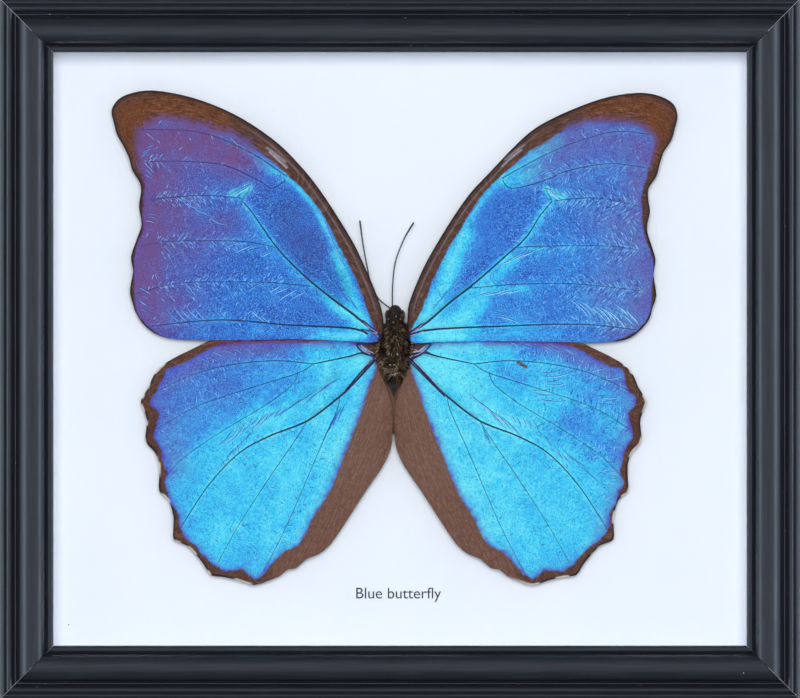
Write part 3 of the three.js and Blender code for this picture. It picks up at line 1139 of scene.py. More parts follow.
@dataclass
class Wing:
    """One wing: a fine sheet cut to its outline, with raised veins, folds and ripples."""

    plan: WingPlan
    centre_x: float
    centre_z: float
    grid: float = 0.258
    thickness: float = 0.35
    droop: float = 1.4
    vein_lift: float = 0.09
    ridge_height: float = 0.1
    ridge_width: float = 0.4
    sag_depth: float = 0.15
    sag_width: float = 3.0
    flat_rim: float = 0.6
    shaded_ruffle_share: float = 0.36
    span: float = 72.0
    outline: np.ndarray = field(default_factory=lambda: np.zeros((0, 2)))

    def read_outline(self) -> None:
        """Takes the wing's outline from the frame's node, in the wing's own millimetres."""
        mesh = bmesh.new()
        mesh.from_mesh(bpy.data.objects[self.plan.node].data)
        bmesh.ops.remove_doubles(mesh, verts=mesh.verts, dist=DOUBLES_MM * MM)
        front = [face for face in mesh.faces if face.normal.y < -0.5]
        seen: dict[tuple[int, int], int] = {}
        for face in front:
            for edge in face.edges:
                key = tuple(sorted(vertex.index for vertex in edge.verts))
                seen[key] = seen.get(key, 0) + 1
        mesh.verts.ensure_lookup_table()
        links: dict[int, list[int]] = {}
        for (first, second), count in seen.items():
            if count == 1:
                links.setdefault(first, []).append(second)
                links.setdefault(second, []).append(first)
        start = min(links)
        order = [start, links[start][0]]
        while order[-1] != start:
            order.append(next(v for v in links[order[-1]] if v != order[-2]))
        rim = np.array([mesh.verts[i].co[:] for i in order[:-1]])
        mesh.free()
        across = (rim[:, 0] / MM - self.centre_x) * self.plan.side
        self.outline = np.column_stack([across, rim[:, 2] / MM - self.centre_z])

    def lay_grid(self) -> tuple[np.ndarray, list[tuple[int, ...]]]:
        """Covers the outline with a fine square grid and cuts it cleanly along the outline.

        Returns:
            The places of the points, and the corner numbers of each face.
        """
        low = self.outline.min(0) - self.grid
        size = np.ceil((self.outline.max(0) + self.grid - low) / self.grid).astype(int) + 1
        rows, columns = np.meshgrid(np.arange(size[0]), np.arange(size[1]), indexing="ij")
        places = low + self.grid * np.column_stack([rows.ravel(), columns.ravel()])
        depth = inside_distance(places, self.outline)
        depth = np.where(np.abs(depth) < 0.06 * self.grid, 0.06 * self.grid, depth)
        inside = depth > 0
        node = (rows * size[1] + columns)[:-1, :-1].ravel()
        corners = np.column_stack([node, node + size[1], node + size[1] + 1, node + 1])
        held = inside[corners].sum(1)
        faces = [tuple(row) for row in corners[held == 4].tolist()]
        extra: list[np.ndarray] = []
        cuts: dict[tuple[int, int], int] = {}
        for row in corners[(held > 0) & (held < 4)].tolist():
            ring = []
            for first, second in zip(row, row[1:] + row[:1]):
                if inside[first]:
                    ring.append(first)
                if inside[first] != inside[second]:
                    key = (min(first, second), max(first, second))
                    if key not in cuts:
                        share = depth[key[0]] / (depth[key[0]] - depth[key[1]])
                        extra.append(places[key[0]] + share * (places[key[1]] - places[key[0]]))
                        cuts[key] = len(places) + len(extra) - 1
                    ring.append(cuts[key])
            if len(ring) > 2:
                faces.append(tuple(ring))
        everything = np.concatenate([places, np.array(extra)])
        used = np.zeros(len(everything), bool)
        used[np.concatenate([np.array(face) for face in faces])] = True
        number = np.cumsum(used) - 1
        return everything[used], [tuple(int(number[i]) for i in face) for face in faces]

    def blend_strokes(self, places: np.ndarray, strokes: tuple[Stroke, ...], base: float) -> np.ndarray:
        """Lays soft bands of tone over an even base.

        Args:
            places: The places to colour.
            strokes: The bands, later ones on top.
            base: The level where no band lies.

        Returns:
            The level at each place.
        """
        level = np.full(len(places), base)
        for stroke in strokes:
            away = nearest_on_line(places, smooth_line(stroke.points, 2.0)).away
            level += (stroke.level - level) * (stroke.strength * bell(away, stroke.width))
        return level

    def vein_map(self, places: np.ndarray) -> tuple[np.ndarray, np.ndarray, np.ndarray]:
        """Finds the nearest vein of each place.

        Args:
            places: The places to measure.

        Returns:
            The distance to the nearest vein, the length along it and the vein's number.
        """
        away = np.full(len(places), 1e9)
        along = np.zeros(len(places))
        owner = np.zeros(len(places), int)
        for number, vein in enumerate(self.plan.veins):
            found = nearest_on_line(places, smooth_line(vein.points))
            closer = found.away < away
            away[closer] = found.away[closer]
            along[closer] = (found.along + 33.3 * number)[closer]
            owner[closer] = number
        return away, along, owner

    def border_distance(self, places: np.ndarray) -> np.ndarray:
        """Gives how deep places lie inside the blue, from the line where the brown border begins.

        Args:
            places: The places to measure.

        Returns:
            The distances, below 0 in the border.
        """
        return inside_distance(places, smooth_line(self.plan.border, 1.0, closed=True))

    def surface(self, places: np.ndarray, away: np.ndarray) -> np.ndarray:
        """Gives the depth of the sheet's front, raised along the veins and sunk between them.

        Args:
            places: The places to measure.
            away: The distance of each from the nearest vein.

        Returns:
            The depths in millimetres.
        """
        ridge = self.ridge_height * bell(away, self.ridge_width)
        relief = ridge - self.sag_depth * (1 - bell(away, self.sag_width))
        rim = inside_distance(places, self.outline)
        return self.front(places[:, 0]) - relief * fade(rim, 0.0, self.flat_rim)

    def paint(self, places: np.ndarray, away: np.ndarray, along: np.ndarray) -> dict[str, np.ndarray]:
        """Works out every number that the scales' material reads.

        Args:
            places: The sheet's points.
            away: The distance of each from the nearest vein.
            along: The length along that vein.

        Returns:
            The fields by name, one value for each point.
        """
        plan = self.plan
        rim = inside_distance(places, self.outline)
        # Painted highlight: a bright band on the membrane just beside each vein.
        flank_highlight = np.zeros(len(places))
        for vein in plan.veins:
            found = nearest_on_line(places, smooth_line(vein.points))
            flank_highlight = np.maximum(flank_highlight, vein.flank_highlight * bell(found.away - 0.35, self.ridge_width))
        inside = self.border_distance(places)
        grainy = value_noise(places, 0.4, plan.seed + 5)
        soft = self.blend_strokes(places, plan.soft_edges, 0.0)
        outer = fade(places[:, 0], 28.0, 36.0) * fade(-places[:, 1], 2.0, 5.0) if plan.cream else 1.0
        wobble = 0.15 + 0.65 * outer * plan.cream + 1.2 * soft
        ragged = inside + 0.35 + (0.32 + 0.6 * soft) * (value_noise(places, 0.5, plan.seed + 3) - 0.5)
        ragged += wobble * (value_noise(places, 2.3, plan.seed + 4) - 0.5)
        border = 1 - fade(ragged / (1 + 8 * soft), -0.3, 0.4)
        haze = self.blend_strokes(places, plan.hazes, 0.0)
        border = np.maximum(border, fade(haze + 0.5 * (grainy - 0.5), 0.18, 0.88))
        # The light level: the wing's blue with its iridescent sheen painted in as fixed colour, raised by the
        # painted highlight beside each vein.
        light = self.blend_strokes(places, plan.tones, plan.base_level)
        light += 0.14 * (value_noise(places, 4.5, plan.seed + 6) - 0.5) + 0.4 * flank_highlight
        light += 0.12 * (value_noise(places, 1.4, plan.seed + 9) - 0.5)
        # Painted highlight: the tone is raised around each bundle of creases.
        for bundle in plan.creases:
            turn = math.radians(bundle.degrees)
            middle = np.array(bundle.start) + 0.5 * bundle.length * np.array([math.cos(turn), math.sin(turn)])
            line = np.array([middle, middle + bundle.count * np.array(bundle.step)])
            off = nearest_on_line(places, line).away
            light += 0.17 * bundle.gain * bell(off, 0.4 * bundle.length)
        # Violet share: partly the wing's own violet and partly its iridescent sheen, painted in as fixed
        # colour.
        violet = self.blend_strokes(places, plan.violets, 0.0)
        edging = np.exp(-np.clip(inside, 0, 99) / (0.8 + 3.5 * soft))
        violet = np.maximum(violet, 1.7 * plan.fringe * soft * edging)
        violet = np.maximum(violet, 0.95 * fade(haze, 0.02, 0.35))
        uneven = 0.6 + 0.8 * value_noise(places, 1.2, plan.seed + 12)
        purple = (0.25 + 0.6 * plan.cream) * plan.fringe * (1 - soft) * edging * uneven
        violet += 0.3 * (value_noise(places, 2.0, plan.seed + 7) - 0.5) * violet
        shadow = self.blend_strokes(places, plan.shadows, 0.0)
        shadow *= 0.5 + 0.5 * value_noise(places, 0.5, plan.seed + 8)
        gloss = self.blend_strokes(places, plan.glosses, 0.0) * (0.55 + 0.45 * grainy)
        costa = fade(places[:, 1], 7.0, 12.0) * (1 - fade(places[:, 0], 30.0, 42.0)) * (1.0 - plan.cream)
        gloss = np.maximum(gloss, 0.15 * costa * bell(rim - 1.4, 0.16) * border)
        darkness = 0.6 * np.exp(-np.clip(rim, 0, 99) / 1.1) * (1.0 - plan.cream)
        patches = fade(value_noise(places, 1.9, plan.seed + 10), 0.45, 0.62)
        fold = fade(-places[:, 0], -34.0, -27.0) * fade(-places[:, 1], 2.0, 6.0) * plan.cream
        amber = 0.5 * fold * bell(places[:, 0], 3.4) * fade(-places[:, 1], 12.0, 19.0)
        amber = np.maximum(amber, 0.3 * fold * fade(-places[:, 1], 30.0, 48.0))
        return {
            "fold": fold * (1 - amber),
            "light": np.clip(light, 0, 1),
            "violet": np.clip(violet, 0, 1),
            "purple": np.clip(purple, 0, 1),
            "along": along,
            "away": away,
            "shadow": shadow,
            "border": border,
            "rim": np.maximum((1 - fade(rim, 0.15, 0.75)) * outer, darkness),
            "fringe": (1 - fade(rim, 0.1, 0.45)) * patches * outer * plan.cream,
            "warm": np.clip(haze * 1.3 + amber, 0, 1),
            "gloss": np.clip(gloss, 0, 1),
        }

    def bundle_folds(self, rng: np.random.Generator) -> list[tuple[float, ...]]:
        """Lays out the bundles of long folds, each a painted highlight with a dark line of painted shade
        beside it for its hollow.

        Args:
            rng: The seeded source of small differences.

        Returns:
            For each fold: start, way, length, bend, radius and tone.
        """
        rows = []
        for bundle in self.plan.creases:
            for number in range(bundle.count):
                turn = math.radians(bundle.degrees + rng.normal(0, 4))
                length = bundle.length * rng.uniform(0.55, 1.15)
                way = (math.cos(turn), math.sin(turn))
                x = bundle.start[0] + number * bundle.step[0] + rng.normal(0, 0.15)
                z = bundle.start[1] + number * bundle.step[1] + rng.normal(0, 0.15)
                bend = bundle.bend + rng.normal(0, 0.06)
                tone = bundle.gain + rng.uniform(0.05, 0.4)
                rows.append((x, z, *way, length, bend, bundle.width * rng.uniform(0.5, 0.8), tone))
                # A thin dark twin beside each fold: painted shade for its hollow.
                x, z = x - 0.2 * way[1], z + 0.2 * way[0]
                rows.append((x, z, *way, length, bend, bundle.width * 0.4, rng.uniform(0.0, 0.2)))
        return rows

    def ruffle_folds(self, rng: np.random.Generator) -> list[tuple[float, ...]]:
        """Lays out the short ruffles that run slantwise to the veins on both of their sides.

        Args:
            rng: The seeded source of small differences.

        Returns:
            For each ruffle: start, way, length, bend, radius and tone.
        """
        plan = self.plan
        spots, ways, owners = [], [], []
        slant = math.radians(plan.ripple_degrees)
        for number, vein in enumerate(plan.veins):
            line = smooth_line(vein.points, 0.4)
            reach = np.concatenate([[0], np.cumsum(np.linalg.norm(np.diff(line, axis=0), axis=1))])
            tangent = np.gradient(line, axis=0)
            tangent /= np.linalg.norm(tangent, axis=1)[:, None]
            for side in (-1, 1):
                for row in np.arange(0.5, 7.5, plan.ripple_row):
                    steps = np.arange(0.6, reach[-1], plan.ripple_pitch)
                    steps = steps - row / math.tan(slant) + rng.normal(0, 0.14, len(steps))
                    at = np.clip(np.searchsorted(reach, steps), 0, len(line) - 1)
                    normal = np.column_stack([-tangent[at, 1], tangent[at, 0]]) * side
                    offset = row + rng.normal(0, 0.22, len(steps))
                    spots.append(line[at] + normal * offset[:, None])
                    turn = slant + rng.normal(0, 0.08, len(steps)) + 0.04 * (row - 3)
                    ways.append(tangent[at] * np.cos(turn)[:, None] - normal * np.sin(turn)[:, None])
                    owners.append(np.full(len(steps), number))
        spot, way, owner = np.concatenate(spots), np.concatenate(ways), np.concatenate(owners)
        away, _along, nearest = self.vein_map(spot)
        inside = self.border_distance(spot)
        strength = self.blend_strokes(spot, plan.ripples, 0.05)
        chance = strength * (0.3 + 1.1 * bell(away, 2.1))
        keep = (nearest == owner) & (inside > 0.9) & (rng.random(len(spot)) < chance)
        spot, way, strength = spot[keep], way[keep], strength[keep]
        length = rng.uniform(0.8, 1.6, len(spot))
        start = spot - way * (length / 2)[:, None]
        bend = rng.normal(0.1, 0.06, len(spot))
        radius = rng.uniform(0.05, 0.082, len(spot)) * (0.75 + 0.35 * strength)
        # Some ruffles get a dark tone as painted shade, the others a pale tone as painted highlight.
        dark = rng.random(len(spot)) < self.shaded_ruffle_share
        tone = np.where(dark, rng.uniform(0.0, 0.25, len(spot)), rng.uniform(0.55, 1.0, len(spot)))
        return np.column_stack([start, way, length, bend, radius, tone]).tolist()

    def fold_lines(self, fold_light_shade: bpy.types.Material) -> bpy.types.Object:
        """Makes every fold as a thin ridge with pointed ends that lies on the sheet.

        Args:
            fold_light_shade: The folds' material, with their painted highlight and shade.

        Returns:
            The finished folds.
        """
        rng = np.random.default_rng(self.plan.seed + 50)
        rows = np.array(self.bundle_folds(rng) + self.ruffle_folds(rng))
        count, rings = len(rows), 6
        share = np.linspace(0, 1, rings)[None, :, None]
        start, way = rows[:, None, 0:2], rows[:, None, 2:4]
        across = np.stack([-rows[:, 3], rows[:, 2]], axis=1)[:, None, :]
        length, bend, radius = (rows[:, i, None, None] for i in (4, 5, 6))
        line = start + way * length * share + across * bend * 4 * share * (1 - share)
        width = radius * (0.12 + np.sin(math.pi * share) ** 0.7)
        flat = line.reshape(-1, 2)
        inside = inside_distance(flat, self.outline).reshape(count, rings)
        blue = self.border_distance(flat).reshape(count, rings)
        held = (inside.min(axis=1) > 0.4) & (blue.min(axis=1) > 0.1)
        line, width, rows = line[held], width[held], rows[held]
        count = len(rows)
        flat = line.reshape(-1, 2)
        depth = self.surface(flat, self.vein_map(flat)[0]).reshape(count, rings)
        points = np.zeros((count, rings, 3, 3))
        for corner, (aside, lift) in enumerate(((-1.0, -0.02), (1.0, -0.02), (0.0, 0.8))):
            ring = line + across[held] * width * aside
            height = depth - (0.015 + width[:, :, 0] * lift)
            placed = self.to_scene(ring.reshape(-1, 2), height.reshape(-1))
            points[:, :, corner] = placed.reshape(count, rings, 3)
        faces = []
        for number in range(count):
            k = number * rings * 3
            for ring in range(rings - 1):
                for corner in range(3):
                    a, b = k + 3 * ring + corner, k + 3 * ring + (corner + 1) % 3
                    faces.append((a, b, b + 3, a + 3))
            last = k + 3 * (rings - 1)
            faces.append((k + 2, k + 1, k))
            faces.append((last, last + 1, last + 2))
        if self.plan.side < 0:
            faces = [face[::-1] for face in faces]
        piece = mesh_piece(f"{self.plan.name}_folds", points.reshape(-1, 3), faces)
        store_number(piece, "tone", np.repeat(rows[:, 7], rings * 3))
        return finish_piece(piece, fold_light_shade)

    def front(self, across: np.ndarray) -> np.ndarray:
        """Gives the depth of the sheet's front at distances out from the axis.

        Args:
            across: The distances.

        Returns:
            The depths in millimetres.
        """
        return self.plan.root_y + self.droop * (across / self.span) ** 2

    def to_scene(self, places: np.ndarray, depth: np.ndarray) -> np.ndarray:
        """Turns wing millimetres into metres of the frame.

        Args:
            places: The places on the wing.
            depth: The depth of each.

        Returns:
            The points, one row each.
        """
        x = self.centre_x + self.plan.side * places[:, 0]
        return np.column_stack([x, depth, self.centre_z + places[:, 1]]) * MM

    def vein_tubes(self, horn: bpy.types.Material) -> bpy.types.Object:
        """Builds all veins as thin tapered tubes.

        Args:
            horn: The material of the veins.

        Returns:
            The finished veins.
        """
        lines = []
        for vein in self.plan.veins:
            line = smooth_line(vein.points, 0.7)
            line = line[inside_distance(line, self.outline) > 0.3]
            if len(line) > 2:
                radius = np.linspace(vein.root_radius, vein.tip_radius, len(line))
                lines.append((self.to_scene(line, self.front(line[:, 0]) - self.vein_lift) / MM, radius))
        return finish_piece(make_tubes(f"{self.plan.name}_veins", lines, 6), horn)

    def fold_rays(self, horn: bpy.types.Material, rays: tuple[tuple[Point, ...], ...]) -> bpy.types.Object:
        """Lays fine pale lines along the brown fold beside the body.

        Args:
            horn: The material of the lines.
            rays: The lines in the wing's millimetres.

        Returns:
            The finished lines.
        """
        lines = []
        for ray in rays:
            line = smooth_line(ray, 0.8)
            line = line[inside_distance(line, self.outline) > 0.3]
            width = 0.02 + 0.06 * np.sin(np.linspace(0.1, math.pi - 0.1, len(line)))
            lines.append((self.to_scene(line, self.surface(line, self.vein_map(line)[0])) / MM, width))
        return finish_piece(make_tubes(f"{self.plan.name}_rays", lines, 6), horn)

    def build(self, scales: bpy.types.Material) -> bpy.types.Object:
        """Makes the wing's sheet and puts it in place of the frame's node.

        Args:
            scales: The material of the sheet.

        Returns:
            The finished wing.
        """
        self.read_outline()
        places, faces = self.lay_grid()
        away, along, _owner = self.vein_map(places)
        fields = self.paint(places, away, along)
        depth = self.surface(places, away)
        if self.plan.side < 0:
            faces = [face[::-1] for face in faces]
        sheet = mesh_piece(self.plan.name, self.to_scene(places, depth), faces)
        for name, values in fields.items():
            store_number(sheet, name, values)
        apply_modifier(sheet, "SOLIDIFY", thickness=self.thickness * MM, offset=-1.0)
        bpy.ops.object.shade_smooth()
        return finish_piece(sheet, scales, (self.plan.node,))


# ---- The four wings ----


FOREWING_RIGHT = WingPlan(
    name="wing_fore_right",
    node="forewing_right",
    side=1,
    root_y=0.2,
    border=(
        (6.2, 7.4), (8.0, 11.2), (9.8, 16.3), (11.8, 20.6), (14.4, 25.7), (16.9, 29.7), (19.4, 34.0),
        (22.0, 37.8), (24.5, 40.9), (27.1, 43.4), (30.9, 46.7), (34.7, 49.8), (38.5, 52.3), (42.3, 54.9),
        (47.4, 57.7), (52.5, 58.9), (58.8, 58.4), (63.9, 57.1), (66.4, 54.4), (66.7, 50.5), (65.2, 46.7),
        (63.9, 42.9), (62.9, 39.1), (63.1, 35.3), (63.1, 31.5), (63.9, 27.7), (65.4, 23.9), (65.9, 20.1),
        (65.4, 15.0), (65.4, 11.2), (64.1, 7.4), (61.6, 4.8), (57.5, 2.8), (50.0, 0.5), (30.0, 0.0),
        (8.0, 0.0), (4.6, 3.0),
    ),
    veins=(
        Vein(((6.2, 5.3), (9.3, 7.4), (14.4, 11.9), (19.4, 15.7), (24.5, 20.1), (29.6, 24.6), (32.1, 26.7),
              (34.7, 29.7), (37.2, 33.8), (40.5, 37.8)), 0.3, 0.12, 0.5),
        Vein(((27.6, 43.4), (33.4, 46.7), (42.3, 51.1), (52.5, 54.6), (58.8, 55.4), (65.2, 54.6)), 0.1, 0.07),
        Vein(((27.8, 42.9), (28.8, 41.4), (30.6, 40.9), (34.7, 41.7), (39.8, 43.4), (44.8, 45.5),
              (55.0, 47.2), (65.2, 46.0)), 0.12, 0.07),
        Vein(((41.0, 37.8), (52.5, 38.4), (64.6, 35.8)), 0.1, 0.08),
        Vein(((31.6, 25.9), (39.8, 26.2), (55.0, 26.2), (62.6, 25.1)), 0.1, 0.07),
        Vein(((19.4, 15.5), (32.1, 16.5), (47.4, 16.5), (63.9, 14.7)), 0.1, 0.07),
        Vein(((6.0, 4.3), (11.8, 5.1), (27.1, 5.8), (47.4, 6.3), (62.6, 4.8)), 0.26, 0.08, 0.4),
        Vein(((38.5, 41.1), (41.5, 39.6), (43.6, 38.6)), 0.08, 0.06, 0.6),
        Vein(((38.5, 41.1), (39.6, 39.2), (40.3, 37.8)), 0.08, 0.06, 0.6),
    ),
    base_level=0.34,
    tones=(
        Stroke(((15, 17), (21, 24), (27, 32), (32, 38)), 5.0, 0.24, 0.8),
        Stroke(((12.5, 12), (18, 16.6), (24, 22), (29, 26.8), (32.5, 31)), 1.5, 0.08, 0.75),
        Stroke(((8, 8), (11, 13), (14, 19), (16.2, 25), (17.8, 29)), 2.9, 0.88, 1.0),
        Stroke(((18.5, 31), (22, 37), (25.5, 41.3), (28, 44)), 1.1, 0.72),
        Stroke(((8, 4.6), (14, 6.6), (18, 8.6), (21, 11.4)), 3.6, 0.92, 0.95),
        Stroke(((19, 12.6), (25, 18), (30, 22.5)), 2.4, 0.74),
        Stroke(((33, 27.2), (36, 31), (39, 35.8)), 1.8, 0.64),
        Stroke(((28, 43.2), (31.5, 46), (36, 49.5), (42, 53)), 1.6, 0.68),
        Stroke(((30, 42.5), (34, 44), (37, 46)), 1.8, 0.76),
        Stroke(((39, 40.6), (41, 39), (43, 38.6)), 0.9, 0.88),
        Stroke(((9, 3.2), (15, 3.2), (20, 3.4)), 1.7, 0.94, 0.95),
        Stroke(((20, 3.2), (30, 3.6), (42, 3.8)), 1.6, 0.55),
        Stroke(((33, 25.2), (40, 25.2), (47, 25.4)), 1.0, 0.52, 0.7),
        Stroke(((21, 14.8), (28, 14.9), (34, 15.4)), 0.9, 0.68, 0.7),
        Stroke(((36, 20.5), (38, 20.5)), 3.2, 0.24, 0.8),
        Stroke(((44, 31), (46.5, 31)), 3.4, 0.28, 0.7),
        Stroke(((34, 10), (46, 10)), 3.4, 0.34, 0.5),
        Stroke(((52, 12), (58, 20), (57, 30)), 6.0, 0.46, 0.5),
    ),
    violets=(
        Stroke(((64, 52), (50, 54), (42, 51)), 5.5, 0.64, 0.88),
        Stroke(((64, 46), (62, 30), (64, 14), (60, 5)), 6.5, 0.66, 0.88),
        Stroke(((54, 33), (58, 28), (54, 14)), 6.0, 0.44, 0.75),
        Stroke(((36, 45), (46, 47), (56, 49)), 4.0, 0.4, 0.8),
        Stroke(((50, 42), (50, 38)), 5.0, 0.3, 0.7),
    ),
    ripples=(
        Stroke(((44, 36), (56, 34), (60, 26), (60, 16), (54, 10)), 8.0, 0.95, 0.95),
        Stroke(((34, 26), (44, 25), (52, 18), (44, 12)), 5.0, 0.7, 0.8),
        Stroke(((38, 44), (48, 42), (58, 42)), 4.0, 0.55, 0.8),
        Stroke(((22, 16), (32, 17)), 2.5, 0.55, 0.7),
        Stroke(((12, 20), (22, 32)), 4.0, 0.06, 0.9),
        Stroke(((56, 55), (50, 52)), 4.0, 0.14, 0.9),
    ),
    creases=(
        Creases((45.0, 12.6), (1.5, -0.45), 9, 7.0, -42, 0.4),
        Creases((56.5, 11.0), (1.0, -0.5), 6, 4.5, -44, 0.2),
        Creases((27.6, 21.4), (1.3, 0.55), 6, 4.6, 24, 0.15),
        Creases((21.0, 13.2), (2.0, 0.2), 5, 5.2, 14, 0.1),
        Creases((42.6, 37.6), (0.9, 0.05), 10, 2.2, -128, 0.1, 0.13, 0.6),
        Creases((43.4, 39.0), (0.95, 0.02), 9, 2.4, 130, 0.1, 0.13, 0.5),
        Creases((39.0, 40.9), (0.35, -0.5), 4, 3.4, -28, 0.1, 0.15, 0.8),
        Creases((24.0, 9.4), (1.4, -0.5), 3, 7.5, -14, 0.2, 0.14, 0.6),
        Creases((33.0, 42.4), (1.3, 0.5), 7, 3.6, 26, 0.1, 0.13, 0.45),
        Creases((18.6, 32.0), (0.8, 1.3), 5, 4.2, 62, 0.1, 0.14, 0.55),
        Creases((10.0, 10.0), (0.9, 1.0), 6, 4.4, 44, 0.15, 0.13, 0.35),
        Creases((31.0, 47.2), (1.7, 1.3), 8, 2.8, 40, 0.1, 0.12, 0.45),
        Creases((59.0, 28.6), (0.5, 1.0), 5, 2.4, -52, 0.1, 0.12, 0.5),
        Creases((61.8, 41.6), (0.4, 1.2), 3, 3.0, -38, 0.1, 0.12, 0.5),
    ),
    shadows=(
        Stroke(((11.4, 14.9), (12.0, 13.6), (13.0, 13.0)), 0.2, 0.7, 0.9),
        Stroke(((19.4, 32.8), (20.2, 30.6)), 0.35, 0.45, 0.8),
        Stroke(((7.0, 6.3), (14.4, 12.3), (20, 16.6)), 0.45, 0.55, 0.8),
        Stroke(((6.5, 4.8), (12, 5.5), (20, 5.9)), 0.4, 0.45, 0.8),
    ),
    glosses=(
        Stroke(((27.6, 46.4), (30.2, 48.9), (32.6, 50.7)), 0.2, 0.6, 0.9),
        Stroke(((28.4, 48.2), (31.0, 50.4), (33.4, 52.0)), 0.26, 0.32, 0.9),
    ),
    hazes=(
        Stroke(((68, 58), (62, 62), (52, 62)), 3.6, 1.0, 0.95),
        Stroke(((69, 54), (67.4, 48)), 1.9, 0.8, 0.9),
    ),
    soft_edges=(
        Stroke(((67, 51), (64, 56), (56, 58.6), (47, 57.4)), 4.6, 0.85, 0.95),
        Stroke(((43, 55.2), (36, 51)), 2.0, 0.25, 0.9),
    ),
    seed=11,
    fringe=0.55,
)

